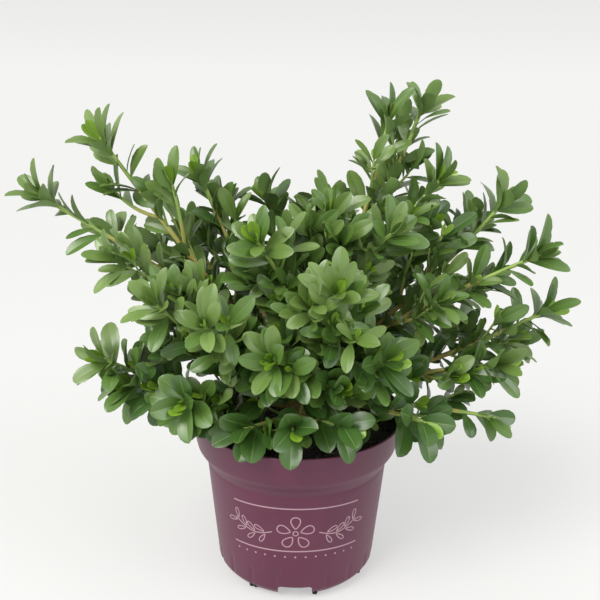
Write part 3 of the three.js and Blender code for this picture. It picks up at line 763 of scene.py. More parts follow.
crumb_materials = [new_material(name, colour, 0.95)[0] for name, colour in CRUMB_COLOURS.items()]
add_piece("peat_crumbs", crumb_mesh, crumb_materials, ["soil"])

# %% [markdown]
# ## How the shrub grows
# The solids were grown by a rule, and the same rule is written out here, so that every bough,
# shoot and leaf starts out in the same place. Each shoot is one smooth curve from its foot to
# its tip. Its foot is on the short stem or on the bough of another shoot. The table gives what
# each shoot stands on, how far up (mm on the stem, a share on a bough), the bearing of its tip
# in degrees, how far out and how high its tip is, how far its middle hangs, and its number of
# side shoots.

# %% The shoots
STEM = "stem"
SHOOTS = [
    ("left_tall", STEM, 32, 187, 156, 384, 3, 3),
    ("left_far", "left_tall", 0.45, 181, 211, 336, 0, 2),
    ("left_behind", "left_tall", 0.8, 163, 170, 288, 0, 1),
    ("left_inner", STEM, 41, 167, 86, 352, 4, 2),
    ("left_front", STEM, 24, 213, 129, 266, 6, 2),
    ("left_front_inner", "left_front", 0.6, 233, 114, 256, 0, 2),
    ("left_low", STEM, 13, 198, 165, 214, 9, 2),
    ("left_low_front", "left_low", 0.5, 222, 118, 190, 0, 2),
    ("front_low", STEM, 14, 268, 96, 176, 2, 1),
    ("front_low_left", "front_low", 0.5, 243, 92, 168, 0, 1),
    ("front_low_right", "front_low", 0.75, 292, 94, 176, 0, 1),
    ("front", STEM, 30, 285, 106, 286, 6, 3),
    ("front_left", "front", 0.4, 259, 98, 232, 0, 3),
    ("front_right", "front", 0.25, 308, 108, 228, 0, 2),
    ("front_inner", "front", 0.15, 292, 84, 204, 0, 1),
    ("front_inner_left", "front", 0.2, 246, 66, 202, 0, 1),
    ("middle", STEM, 47, 340, 28, 326, 0, 2),
    ("middle_left", "middle", 0.35, 246, 76, 316, 0, 2),
    ("middle_right", "middle", 0.7, 328, 84, 318, 0, 2),
    ("right_low", STEM, 15, 343, 168, 166, -5, 2),
    ("right_low_front", "right_low", 0.5, 320, 128, 177, 0, 2),
    ("right_far", STEM, 22, 354, 207, 250, 8, 2),
    ("right_far_low", "right_far", 0.6, 345, 168, 210, 0, 2),
    ("right_upper", STEM, 33, 3, 170, 334, 8, 3),
    ("right_middle", "right_upper", 0.6, 349, 192, 300, 0, 2),
    ("right_tall", STEM, 43, 17, 106, 410, 4, 2),
    ("right_inner", "right_tall", 0.5, 357, 113, 355, 0, 2),
    ("right_tall_left", "right_tall", 0.65, 15, 76, 403, 0, 1),
    ("back_right", STEM, 27, 46, 160, 290, 8, 2),
    ("back_right_low", "back_right", 0.4, 27, 180, 236, 0, 2),
    ("back_right_rim", "back_right", 0.25, 64, 160, 200, 0, 2),
    ("back_tall", STEM, 38, 76, 112, 318, 5, 2),
    ("back_middle", "back_tall", 0.5, 88, 166, 262, 0, 2),
    ("back_inner", "back_tall", 0.75, 118, 66, 326, 0, 2),
    ("back_left", STEM, 28, 132, 160, 286, 8, 2),
    ("back_left_low", "back_left", 0.4, 151, 166, 226, 0, 2),
    ("back_low", STEM, 15, 110, 156, 204, 6, 2),
]
print(len(SHOOTS), "shoots")

# %% Curves and frames
UP = np.array([0.0, 0.0, 1.0])
SIDEWAYS = np.array([1.0, 0.0, 0.0])
NEARLY_UPRIGHT = 0.97


def unit(vector):
    """A direction, or a row of them, made one long."""
    return vector / np.linalg.norm(vector, axis=-1, keepdims=True)


def point_on(curve, share):
    """The point of a three-point curve at one share of it, or a row of points for several."""
    share = np.asarray(share, float)[..., None]
    start, bend, end = curve
    return start * (1 - share) ** 2 + 2 * bend * share * (1 - share) + end * share ** 2


def heading_on(curve, share):
    """The direction in which a curve runs at one share of it, or at several."""
    share = np.asarray(share, float)[..., None]
    start, bend, end = curve
    return unit((bend - start) * (1 - share) + (end - bend) * share)


def length_of(curve):
    """A curve's length, measured along two hundred short steps."""
    steps = np.diff(point_on(curve, np.linspace(0, 1, 201)), axis=0)
    return float(np.linalg.norm(steps, axis=1).sum())


def frame_at(direction):
    """Two directions square to a heading: one level, one on its upper side."""
    reference = SIDEWAYS if abs(direction[2]) > NEARLY_UPRIGHT else UP
    across = unit(np.cross(direction, reference))
    return across, np.cross(across, direction)


def turned(direction, angle, turn):
    """A heading bent away by an angle, towards a turn round it."""
    across, over = frame_at(direction)
    outwards = across * math.cos(turn) + over * math.sin(turn)
    return direction * math.cos(angle) + outwards * math.sin(angle)


print("curves and frames are ready")

# %% Lay out the shoots
CLEARANCE = 0.3
STEM_BASE = SOIL_CROWN + CLEARANCE
BOUGH_SHARE = 0.4
SWAY = 7
BRANCH_BEND = 0.25
BRANCH_FOLLOW = 0.2

paths = {}
for number, (name, start, at, bearing, reach, height, hang, sides) in enumerate(SHOOTS):
    turn = math.radians(bearing)
    tip = np.array([reach * math.cos(turn), reach * math.sin(turn), height])
    path = SimpleNamespace(name=name, number=number, sides=sides, parent=paths.get(start))
    if path.parent:
        joint = at * BOUGH_SHARE
        foot = point_on(path.parent.curve, joint)
        chord = tip - foot
        along = heading_on(path.parent.curve, joint) * np.linalg.norm(chord) * BRANCH_FOLLOW
        path.curve = np.array([foot, foot + chord * BRANCH_BEND + along, tip])
        path.stem_from = 0.0
    else:
        foot = np.array([0, 0, STEM_BASE + at])
        chord = tip - foot
        across, over = frame_at(unit(chord))
        bend = foot + chord / 2 - 2 * hang * over + spread(-SWAY, SWAY, number, 1) * across
        path.curve = np.array([foot, bend, tip])
        path.stem_from = BOUGH_SHARE + CLEARANCE / length_of(path.curve)
    paths[name] = path
paths = list(paths.values())
boughs = [path for path in paths if not path.parent]
total = sum(length_of(path.curve) for path in paths)
print(len(boughs), "boughs,", round(total / 1000, 1), "m of shoots")

# %% [markdown]
# Each mass keeps to its own space: a point belongs to the shoot whose stem is nearest. A twig or
# leaf that would leave that space, touch a bough, sink into the pot or leave the model's box
# isn't grown. Distances from a few points to every stem are worked out together, as arrays.

# %% Room to grow in
SPACE_STEPS = 8
BORDER = 1.4
LIMB_GAP = 1.6
POT_GAP = 2
TWIG_GAP = 2.5
STEM_HEIGHT = 52
STEM_RADIUS = 7
BOUGH_FOOT_RADIUS = 3.2
BOUGH_TIP_RADIUS = 2.1
BOX_SLACK = 0.5

stem_lines = np.array([point_on(path.curve, np.linspace(path.stem_from, 1, SPACE_STEPS + 1))
                       for path in paths])
bough_lines = np.array([point_on(path.curve, np.linspace(0, BOUGH_SHARE, SPACE_STEPS + 1))
                        for path in boughs])
main_line = np.array([[[0, 0, STEM_BASE], [0, 0, STEM_BASE + STEM_HEIGHT]]])
box_low = np.array(cad_low) / MM - BOX_SLACK
box_high = np.array(cad_high) / MM + BOX_SLACK


def distances(points, lines):
    """The distance from each point to each line, as a table."""
    starts, runs = lines[:, :-1], np.diff(lines, axis=1)
    offsets = points[:, None, None] - starts
    shares = np.clip((offsets * runs).sum(-1) / (runs * runs).sum(-1), 0, 1)
    return np.linalg.norm(offsets - shares[..., None] * runs, axis=-1).min(2)


def clear_of_pot(points):
    """Whether every point is over the rim, outside it, or inside it and over the peat."""
    radius = np.hypot(points[:, 0], points[:, 1])
    over_rim = points[:, 2] > POT_HEIGHT + POT_GAP
    outside = radius > RIM_RADIUS + POT_GAP
    inside = radius < RIM_RADIUS - POT_WALL - 2 * POT_GAP
    return (over_rim | outside | inside & (points[:, 2] > SOIL_CROWN + POT_GAP)).all()


def fits(points, own, border=BORDER):
    """Whether points may belong to a mass. A border below 0 lets them reach past its space."""
    if (points < box_low).any() or (points > box_high).any() or not clear_of_pot(points):
        return False
    away = distances(points, stem_lines)
    home = np.maximum(away[:, own.number] + 2 * border, TWIG_GAP)
    away[:, own.number] = np.inf
    near_stem = (distances(points, main_line) < STEM_RADIUS + LIMB_GAP).any()
    if near_stem or (away <= home[:, None]).any():
        return False
    return bool((distances(points, bough_lines) > BOUGH_FOOT_RADIUS + LIMB_GAP).all())


print("box in mm:", np.round(box_low), np.round(box_high))

# %% Side shoots
GOLDEN_ANGLE = math.radians(137.5)
SIDE_ANGLE = math.radians(42)
SIDE_FROM, SIDE_TO = 0.1, 0.6
SIDE_SHORTEST, SIDE_LONGEST = 26, 64
SIDE_SPIN = 1.3
SIDE_TRIES = 6
SIDE_TRY_TURN = 0.9
SIDE_TRY_CUT = 0.1
SIDE_BEND, SIDE_OUT, SIDE_RISE, SIDE_FORWARD = 0.5, 0.72, 0.2, 0.14
TESTED_SHARES = np.array([0.5, 0.75, 1])


def shoot_from(curve, share, angle, turn, length):
    """A short curve that leaves another at an angle and bends upwards."""
    foot, heading = point_on(curve, share), heading_on(curve, share)
    direction = turned(heading, angle, turn)
    tip = foot + length * (direction * SIDE_OUT + UP * SIDE_RISE + heading * SIDE_FORWARD)
    return np.array([foot, foot + direction * length * SIDE_BEND, tip])


def side_shoots(path):
    """A shoot's side shoots. One that doesn't fit is tried again, further round and shorter."""
    made = []
    span = 1 - path.stem_from
    stem_length = length_of(path.curve) * span
    for k in range(path.sides):
        place = (k + spread(0.2, 0.8, path.number, 2, k)) / path.sides
        along = between(SIDE_FROM, SIDE_TO, place)
        full = stem_length * (1 - along) * spread(0.5, 0.75, path.number, 3, k)
        for tries in range(SIDE_TRIES):
            turn = GOLDEN_ANGLE * k + path.number * SIDE_SPIN + tries * SIDE_TRY_TURN
            length = max(SIDE_SHORTEST, min(SIDE_LONGEST, full) * (1 - SIDE_TRY_CUT * tries))
            curve = shoot_from(path.curve, path.stem_from + span * along, SIDE_ANGLE, turn, length)
            if fits(point_on(curve, TESTED_SHARES), path):
                made.append(curve)
                break
    return made


for path in paths:
    path.side_curves = side_shoots(path)
print(sum(len(path.side_curves) for path in paths), "side shoots")

# %% [markdown]
# ## Where the leaves sit
# Leaves follow one another round a shoot by the golden angle, which keeps each out of the shade
# of the last. They crowd into a rosette at the tip and stand singly further down. Low ones hang
# and high ones rise, and all turn their upper side up, outwards and towards the light. A leaf
# that would touch an earlier one is tried at other angles, and left out if none is free.

# %% Grow one leaf
LEAF_LENGTH = 37
LEAF_WIDTH = 19
LEAF_WIDEST = 0.58
DROOP, DROOP_HEIGHT = -0.5, 155
RISE, RISE_HEIGHT = 0.12, 280
# The upper side of a leaf faces partly along its shoot, outwards, up and to the front. The last is
# more than on the solids, so that blades show their broad side, and it ends behind the stem.
FACING_ALONG, FACING_OUT, FACING_UP, FACING_FRONT = 0.45, 0.4, 0.6, 0.75
FRONT_ENDS = 90
LEAF_TRIES = ((1, 0), (0.75, 0.5), (0.75, -0.5), (1.2, 0.9), (0.5, 0))
MOST_LEAVES = 9000

leaves = []
leaf_roots = np.full((MOST_LEAVES, 3), np.inf)
leaf_marks = np.full((MOST_LEAVES, 5, 3), np.inf)


def marks_of(root, direction, across, length):
    """Five points that stand for a leaf: three along its rib and two at its sides."""
    rib = root + direction * (length * TESTED_SHARES)[:, None]
    middle = root + direction * length * LEAF_WIDEST
    half = across * length * LEAF_WIDTH / LEAF_LENGTH / 2
    return np.vstack([rib, middle - half, middle + half])


def clear_of_leaves(marks, gap):
    """Whether no mark comes nearer than the gap to a mark of an earlier leaf."""
    near = np.linalg.norm(leaf_roots[:len(leaves)] - marks[0], axis=1) <= 2 * LEAF_LENGTH
    theirs = leaf_marks[:len(leaves)][near].reshape(-1, 3)
    return not (np.linalg.norm(theirs[:, None] - marks, axis=-1) <= gap).any()


def grow_leaf(path, curve, share, manner, spray, angle, turn, length, roll):
    """Adds a leaf at a share of a curve, at the first of its tries that fits and is clear."""
    heading, root = heading_on(curve, share), point_on(curve, share)
    lift = between(DROOP, RISE, (root[2] - DROOP_HEIGHT) / (RISE_HEIGHT - DROOP_HEIGHT))
    lift = min(RISE, max(DROOP, lift))
    outwards = unit(np.array([root[0], root[1], 0]))
    front = FACING_FRONT * min(1, max(0, 1 - root[1] / FRONT_ENDS))
    facing = heading * FACING_ALONG + outwards * FACING_OUT + np.array([0, -front, FACING_UP])
    for part, onwards in LEAF_TRIES:
        direction = unit(turned(heading, angle * part, turn + onwards) + UP * lift)
        level = unit(np.cross(facing, direction))
        across = level * math.cos(roll) + np.cross(direction, level) * math.sin(roll)
        marks = marks_of(root, direction, across, length)
        if fits(marks, path, manner.border) and clear_of_leaves(marks, manner.gap):
            leaf_roots[len(leaves)], leaf_marks[len(leaves)] = root, marks
            leaves.append(SimpleNamespace(root=root, direction=direction, across=across,
                                          length=length, young=manner.young, mass=path.number,
                                          spray=spray))
            return


print("a leaf is up to", LEAF_LENGTH, "mm long")

# %% The leaves that the solids have too
# A manner of leaf: the limits of its angle in degrees, of its size and of its roll to either side,
# the keys of those three draws, how much wider each next leaf opens, how clear of others it keeps,
# and how far inside its mass's space, or past it when below 0.
Manner = namedtuple("Manner", "angle size roll keys opening gap border young", defaults=(False,))
LEAF_GAP = 4
ROSETTE_LEAF = Manner((20, 32), (0.88, 1.1), 0.5, (4, 5, 9), 11, LEAF_GAP, BORDER)
SINGLE_LEAF = Manner((52, 68), (0.8, 1.08), 0.6, (6, 7, 9), 0, LEAF_GAP, BORDER)
ROSETTE_LEAVES, SIDE_ROSETTE_LEAVES = 5, 4
ROSETTE_TOP, ROSETTE_STEP = 1.8, 3
ROSETTE_SIZE, ROSETTE_GROWTH = 0.84, 0.05
SINGLE_STEP, SINGLE_START = 13.5, 0.6
BARE_LEADER, BARE_TWIG = 0.12, 0.3
LONG_BARE = {"right_low": 0.7, "front_low_left": 0.6}
SMALL_LEAVED = {"right_low": 0.8}


def leaf_at(path, curve, share, manner, twig, k, turn=None, scale=LEAF_LENGTH):
    """Draws a leaf's angle, size and roll by its keys, and grows it at a share of a curve."""
    limits = (manner.angle, manner.size, (-manner.roll, manner.roll))
    angle, size, roll = [spread(*pair, path.number, twig, k, key)
                         for pair, key in zip(limits, manner.keys)]
    angle = math.radians(angle + manner.opening * k)
    turn = GOLDEN_ANGLE * k + twig if turn is None else turn
    grow_leaf(path, curve, share, manner, twig, angle, turn, scale * size, roll)


def leaves_on(path, curve, start, bare, rosette, twig):
    """A rosette at the tip, and single leaves in a spiral further down."""
    length = length_of(curve)
    longest = LEAF_LENGTH * SMALL_LEAVED.get(path.name, 1)
    for k in range(rosette):
        share = 1 - (ROSETTE_STEP * k + ROSETTE_TOP) / length
        grown = ROSETTE_SIZE + ROSETTE_GROWTH * k
        leaf_at(path, curve, share, ROSETTE_LEAF, twig, k, scale=longest * grown)
    lowest = (start + bare * (1 - start)) * length
    spot = length - ROSETTE_STEP * rosette - SINGLE_STEP * SINGLE_START
    k = rosette
    while spot > lowest:
        leaf_at(path, curve, spot / length, SINGLE_LEAF, twig, k, scale=longest)
        spot -= SINGLE_STEP * spread(0.8, 1.2, path.number, twig, k, 8)
        k += 1


for path in paths:
    bare = LONG_BARE.get(path.name, BARE_TWIG if path.parent else BARE_LEADER)
    leaves_on(path, path.curve, path.stem_from, bare, ROSETTE_LEAVES, 0)
    for number, side in enumerate(path.side_curves, 1):
        leaves_on(path, side, 0, BARE_TWIG, SIDE_ROSETTE_LEAVES, number)
print(len(leaves), "leaves in the same places as on the solids")

# %% [markdown]
# The solids have fewer and wider leaves than life. Here the same rule goes on: each rosette
# opens with an outer ring of leaves, short twigs fill the room between the shoots, each with its
# own small rosette, single leaves stand between those of the solids, and every tip gets a heart
# of small bright young leaves round its bud.

# %% The outer rings of the rosettes
FINE_GAP = 2.4
FINE_BORDER = -4
RING_LEAF = Manner((44, 56), (0.84, 1.04), 0.25, (61, 62, 63), 7, FINE_GAP, FINE_BORDER)
RING_FIRST = 40
RING_LEAVES = 4
RING_TOP, RING_STEP = 3, 2.4
OPEN_SHOOTS = {"right_low", "right_low_front", "front_low", "front_low_left", "front_low_right"}
OPEN_SIDES = {"left_tall", "right_far_low"}


def leafy_curves(path):
    """The curves of a mass that get more leaves than on the solids, with their numbers."""
    if path.name in OPEN_SHOOTS:
        return []
    curves = list(enumerate([path.curve, *path.side_curves]))
    return curves[:1] if path.name in OPEN_SIDES else curves


for path in paths:
    for number, curve in leafy_curves(path):
        for k in range(RING_LEAVES):
            share = 1 - (RING_TOP + RING_STEP * k) / length_of(curve)
            turn = GOLDEN_ANGLE * (RING_FIRST + k) + number
            leaf_at(path, curve, share, RING_LEAF, number, k, turn)
print(len(leaves), "leaves with the outer rings")

# %% Finer twigs
SMALL_LEAF = Manner((24, 36), (0.66, 0.95), 0.6, (14, 15, 16), 13, FINE_GAP, FINE_BORDER)
SMALL_LEAVES = 5
SMALL_TOP, SMALL_STEP = 1.2, 2.6
FINE_FIRST = 20
FINE_LENGTH = (17, 34)
FINE_ANGLE = (38, 58)
FINE_TRIES = 5
FINE_FROM, SIDE_FINE_FROM, FINE_TO = 0.05, 0.3, 0.78
FINE_BELOW = 0.07
HIGH_SHOOT = 330
AIRY_SHOOTS = {"left_low", "left_low_front", "right_far", "right_far_low", "right_middle",
               "back_left", "back_right_low", "back_right_rim"}


def fine_counts(path):
    """How many finer twigs a mass's own stem and each of its side shoots get. The shoots over the
    rim stay open and the far and tall ones airy, while the others fill the crown."""
    if path.name in OPEN_SHOOTS:
        return 1, 0
    if path.name in OPEN_SIDES:
        return 3, 0
    if path.name in AIRY_SHOOTS or path.curve[2][2] > HIGH_SHOOT:
        return 4, 1
    return 9, 3


def fine_twigs(path, curve, start, count, first):
    """Short twigs along the lower part of a shoot, numbered from the first."""
    made = []
    for k in range(first, first + count):
        share = between(start, FINE_TO, (k - first + spread(0.2, 0.8, path.number, k, 11)) / count)
        length = spread(*FINE_LENGTH, path.number, k, 12)
        angle = math.radians(spread(*FINE_ANGLE, path.number, k, 13))
        for tries in range(FINE_TRIES):
            turn = GOLDEN_ANGLE * k + path.number + tries * SIDE_TRY_TURN
            twig = shoot_from(curve, share, angle, turn, length * (1 - SIDE_TRY_CUT * tries))
            if fits(point_on(twig, TESTED_SHARES), path, FINE_BORDER):
                made.append((k, twig))
                break
    return made


for path in paths:
    on_stem, on_side = fine_counts(path)
    lowest = FINE_FROM if path.parent else path.stem_from - FINE_BELOW
    path.fine = fine_twigs(path, path.curve, lowest, on_stem, FINE_FIRST)
    for number, side in enumerate(path.side_curves, 1):
        path.fine += fine_twigs(path, side, SIDE_FINE_FROM, on_side, FINE_FIRST + 10 * number)
    for twig, curve in path.fine:
        for k in range(SMALL_LEAVES):
            share = 1 - (SMALL_STEP * k + SMALL_TOP) / length_of(curve)
            leaf_at(path, curve, share, SMALL_LEAF, twig, k)
print(sum(len(path.fine) for path in paths), "finer twigs,", len(leaves), "leaves")

# %% Single leaves between the others
BETWEEN_LEAF = Manner((48, 72), (0.7, 0.98), 0.6, (17, 18, 19), 0, FINE_GAP, FINE_BORDER)
BETWEEN_FIRST = 60
BETWEEN_STEP = 8.5
BETWEEN_TOP, BETWEEN_FOOT = 16, 0.08
SIDE_BETWEEN_FROM = 0.1
# High up, the leaves stand further apart, and the shoots show more of their stems.
OPEN_STEP = 15
OPEN_ABOVE = 262


def leaves_between(path, curve, start, twig):
    """Single leaves from under the rosette down to where the twig is bare."""
    length = length_of(curve)
    spot, k = length - BETWEEN_TOP, BETWEEN_FIRST
    while spot > (start + BETWEEN_FOOT) * length:
        leaf_at(path, curve, spot / length, BETWEEN_LEAF, twig, k, GOLDEN_ANGLE * k)
        step = OPEN_STEP if point_on(curve, spot / length)[2] > OPEN_ABOVE else BETWEEN_STEP
        spot -= step * spread(0.7, 1.3, path.number, twig, k, 20)
        k += 1


for path in paths:
    for number, curve in leafy_curves(path):
        start = SIDE_BETWEEN_FROM if number else path.stem_from - FINE_BELOW
        leaves_between(path, curve, start, number)
print(len(leaves), "leaves with those between")

# %% Young leaves at the tips
# Their sizes are in mm, and are scaled by the strength of the shoot.
YOUNG_LEAF = Manner((10, 32), (13, 23), 0.4, (21, 22, 23), 0, 1.1, FINE_BORDER, True)
YOUNG_FIRST = 80
YOUNG_SHARE = 0.995
MANY_YOUNG, FEW_YOUNG = 4, 2
LEADER_STRENGTH, SIDE_STRENGTH, FINE_STRENGTH = 1.0, 0.9, 0.7

tips = []
for path in paths:
    tips.append((path, path.curve, 0, LEADER_STRENGTH))
    tips += [(path, side, number, SIDE_STRENGTH) for number, side in enumerate(path.side_curves, 1)]
    tips += [(path, twig, number, FINE_STRENGTH) for number, twig in path.fine]
grown = len(leaves)
for path, curve, twig, strength in tips:
    few = twig >= FINE_FIRST or path.name in OPEN_SHOOTS
    for k in range(YOUNG_FIRST, YOUNG_FIRST + (FEW_YOUNG if few else MANY_YOUNG)):
        leaf_at(path, curve, YOUNG_SHARE, YOUNG_LEAF, twig, k, scale=strength)
print(len(leaves) - grown, "young leaves at", len(tips), "tips")

# %% [markdown]
# ## The shape of a leaf
# An azalea leaf is a narrow blade, widest beyond its middle, with a long tapering base and a
# blunt end with a tiny point. It bends down along its length and folds up a little along its
# pale midrib. Each is the same closed shape of forty-nine faces, worked out once as points along
# and across the blade. Arrays then bend, fold, twist and place all of them in one step.

# %% One leaf's points and faces
STATIONS = np.array([0.13, 0.33, 0.54, 0.74, 0.89, 0.97])
COLUMNS = np.array([-1, -0.5, -0.03, 0.03, 0.5, 1])
ROOT, TIP, TOP = 0, 1, 2
BELOW = TOP + len(STATIONS) * len(COLUMNS)
BLADE, MIDRIB, UNDERSIDE = 0, 1, 2

top_lines = np.arange(TOP, BELOW).reshape(len(STATIONS), -1).T.tolist()
spine = list(range(BELOW, BELOW + len(STATIONS)))


def leaf_faces():
    """One leaf's faces and what each is: strips on the blade, one of them the midrib, and two
    strips below it that meet in its spine. Each strip narrows to the root and to the tip."""
    last = len(STATIONS) - 1
    faces, parts = [], []
    for column, (left, right) in enumerate(zip(top_lines, top_lines[1:])):
        faces.append([ROOT, left[0], right[0]])
        faces += [[left[k], left[k + 1], right[k + 1], right[k]] for k in range(last)]
        faces.append([TIP, right[last], left[last]])
        parts += [MIDRIB if column == len(COLUMNS) // 2 - 1 else BLADE] * (last + 2)
    for left, right in ((top_lines[0], spine), (spine, top_lines[-1])):
        faces.append([ROOT, right[0], left[0]])
        faces += [[left[k], right[k], right[k + 1], left[k + 1]] for k in range(last)]
        faces.append([TIP, left[last], right[last]])
        parts += [UNDERSIDE] * (last + 2)
    return faces, np.array(parts)


LEAF_FACES, LEAF_PARTS = leaf_faces()
LEAF_OUTLINE = [ROOT, TIP, *top_lines[0], *top_lines[-1]]
print("one leaf has", len(LEAF_FACES), "faces and", BELOW + len(STATIONS), "points")

# %% Bend and place all leaves
BASE_TAPER, END_TAPER = 1.04, 0.58
LEAF_SHORTER = 0.97
SLIM, BROAD = 0.335, 0.18
WIDTHS, YOUNG_WIDER = (-0.03, 0.04), 1.1
LOW_FROM, LOW_TO = 245, 165
ARCH, YOUNG_ARCH = (7, 23), (-16, -6)
FOLD, YOUNG_FOLD = (0.35, 0.7), (0.5, 0.8)
TWIST, TWIST_FROM = 0.35, 0.4
ROLLED_EDGE = 0.3
BLADE_THICKNESS = 0.42


def lowness(height):
    """From 0 high in the crown to 1 for the leaves over the rim, which are broader and darker."""
    return np.clip((height - LOW_FROM) / (LOW_TO - LOW_FROM), 0, 1)


def leaf_points(group):
    """The points of every leaf of a group, one row for each."""
    def draw(limits, key):
        return np.array([spread(*limits, leaf.mass, leaf.spray, number, key)
                         for number, leaf in enumerate(group)])

    def each(value):
        return np.array([getattr(leaf, value) for leaf in group])

    young, root, along, across = map(each, ("young", "root", "direction", "across"))
    length = each("length") * LEAF_SHORTER
    width = length * (SLIM + BROAD * lowness(root[:, 2]) + draw(WIDTHS, 31))
    width *= np.where(young, YOUNG_WIDER, 1)
    arch = np.radians(np.where(young, draw(YOUNG_ARCH, 32), draw(ARCH, 32)))
    fold = np.where(young, draw(YOUNG_FOLD, 33), draw(FOLD, 33))
    twist = draw((-TWIST, TWIST), 34)
    shares = np.concatenate([[0, 1], np.repeat(STATIONS, len(COLUMNS)), STATIONS])
    sides = np.concatenate([[0, 0], np.tile(COLUMNS, len(STATIONS)), 0 * STATIONS])
    below = np.arange(len(shares)) >= BELOW
    form = shares ** BASE_TAPER * (1 - shares) ** END_TAPER
    form /= form.max()
    half = width[:, None] / 2 * form
    # Across the leaf: the two halves fold up from the rib and their edges roll down again.
    y = half * sides
    z = half * (fold[:, None] * np.abs(sides) - ROLLED_EDGE * sides ** 2) - BLADE_THICKNESS * below
    roll = twist[:, None] * (shares - TWIST_FROM)
    y, z = y * np.cos(roll) - z * np.sin(roll), y * np.sin(roll) + z * np.cos(roll)
    # Along the leaf: the rib is an arc of a circle over the straight line from root to tip.
    theta = arch[:, None] * (1 - 2 * shares)
    chord = 2 * np.sin(arch)[:, None]
    x = (np.sin(arch)[:, None] - np.sin(theta)) / chord
    z = z + length[:, None] * (np.cos(theta) - np.cos(arch)[:, None]) / chord
    local = (x * length[:, None], y, z)
    axes = (along, across, np.cross(along, across))
    return root[:, None] + sum(part[..., None] * axis[:, None] for part, axis in zip(local, axes))


print("a leaf is", SLIM, "to", SLIM + BROAD, "of its length wide")

# %% [markdown]
# ## Leaf green
# A leaf's upper side is a satin mid green with a greyish sheen, its underside is paler and
# duller, and the midrib is a fine pale line. Old leaves are darker, and leaves are darker low
# down. Inside the crown and at the right, the darker tints are also painted shade. Young leaves
# at the tips are a bright yellow green. Colours that belong to a place are plain materials, dealt
# out by spray, because a pattern on so many joined leaves would fall anywhere. A waxy leaf has an
# IOR near 1.45.

# %% Materials of the leaves
# A satin upper side, waxy enough to mirror the room, and a duller rib and underside.
LEAF_TINTS = {
    "young azalea leaf": "#7a9f2f",
    "fresh azalea leaf": "#6e8845",
    # The grown, deep and old tints are older leaves, and also painted shade for leaves inside the
    # crown and at the right.
    "grown and shaded azalea leaf": "#607a39",
    "deep azalea leaf": "#4f6e2d",
    "old and shaded azalea leaf": "#3b5b24",
}
LEAF_BACKS = {
    "pale leaf midrib": ("#6c8843", 0.45),
    "pale leaf underside": ("#6f8c4c", 0.55),
    "young leaf underside": ("#7c9f42", 0.55),
}
LEAF_IOR = 1.45
YOUNG, FRESH, GROWN_AND_SHADED, DEEP, OLD_AND_SHADED, PALE_RIB, PALE_UNDERSIDE, YOUNG_UNDERSIDE = range(8)

leaf_materials = [new_material(name, colour, 0.33, IOR=LEAF_IOR, **{"Specular IOR Level": 0.75})[0]
                  for name, colour in LEAF_TINTS.items()]
leaf_materials += [new_material(name, colour, roughness, IOR=LEAF_IOR)[0]
                   for name, (colour, roughness) in LEAF_BACKS.items()]
print(len(leaf_materials), "leaf materials")

# %% Deal out the tints
BRIGHT_SHARE = 0.75
SPRAY_AGE, LEAF_AGE = (0.6, 2.5), (-0.6, 0.9)
# How much darker the tint gets low down, and the painted shade inside the crown and at the right,
# away from the left daylight.
DARKER_LOW, INNER_SHADE, RIGHT_SHADE = 1.5, 0.8, 0.3
INNER_RADIUS, RIGHT_REACH = 130, 120


def tint_of(leaf, number):
    """The tint of a leaf: its spray's, with a neighbouring tint here and there. Leaves get darker
    low down, and painted shade darkens them inside the crown and a little at the right."""
    if leaf.young:
        return YOUNG if chance(leaf.mass, leaf.spray, 41) < BRIGHT_SHARE else FRESH
    x, y, height = leaf.root
    inner = max(0, 1 - math.hypot(x, y) / INNER_RADIUS)
    right = min(1, max(0, x / RIGHT_REACH))
    age_and_shade = spread(*SPRAY_AGE, leaf.mass, leaf.spray, 42) + spread(*LEAF_AGE, number, 43)
    # Darker low down, and painted shade inside the crown and at the right.
    age_and_shade += DARKER_LOW * lowness(height) + INNER_SHADE * inner + RIGHT_SHADE * right
    return int(min(OLD_AND_SHADED, max(FRESH, FRESH + age_and_shade)))


def leaf_kinds(group):
    """The material of every face of every leaf of a group."""
    kinds = np.empty((len(group), len(LEAF_FACES)), int)
    for number, leaf in enumerate(group):
        under = YOUNG_UNDERSIDE if leaf.young else PALE_UNDERSIDE
        kinds[number] = np.choose(LEAF_PARTS, [tint_of(leaf, number), PALE_RIB, under])
    return kinds


print("tints are dealt out to", len({(leaf.mass, leaf.spray) for leaf in leaves}), "sprays")

# %% Join the leaves
masses = ["foliage_" + path.name for path in paths]
grown_leaves = [leaf for leaf in leaves if not leaf.young]
groups = {
    "left_leaves": [leaf for leaf in grown_leaves if leaf.root[0] < 0],
    "right_leaves": [leaf for leaf in grown_leaves if leaf.root[0] >= 0],
    "young_leaves": [leaf for leaf in leaves if leaf.young],
}
for name, group in groups.items():
    mesh = joined(name, leaf_points(group), LEAF_FACES, leaf_kinds(group), LEAF_OUTLINE)
    add_piece(name, mesh, leaf_materials, masses)

# %% [markdown]
# ## Twigs and buds
# The shoots are two to five millimetres thick, woody and tan where they leave their bough and
# green at the tip. All of them are six-sided tubes of the same pattern, so arrays make them in
# one mesh too. At each tip a small pointed bud closes the shoot.

# %% Twigs
TWIG_SIDES = 6
TWIG_RINGS = 9
TWIG_COLOURS = {"tan azalea twig": "#b09c56", "olive azalea twig": "#aaa65a",
                "green azalea twig": "#90aa56"}
TAN, OLIVE, GREEN = range(3)
# Of each kind of twig: its radius at foot and tip, and the bark on its eight lengths.
LEADER = ((2.3, 1.55), [TAN] * 3 + [OLIVE] * 3 + [GREEN] * 2)
SIDE_TWIG = ((1.7, 1.2), [OLIVE] * 4 + [GREEN] * 4)
FINE_TWIG = ((1.2, 0.85), [GREEN] * 8)
INTO_BOUGH = 0.012
NODE_SWELL = 0.09


def carried(headings):
    """Two directions square to each heading, carried along so that a tube doesn't twist."""
    across = frame_at(headings[0])[0]
    for heading in headings:
        across = unit(across - heading * (across @ heading))
        yield across, np.cross(heading, across)


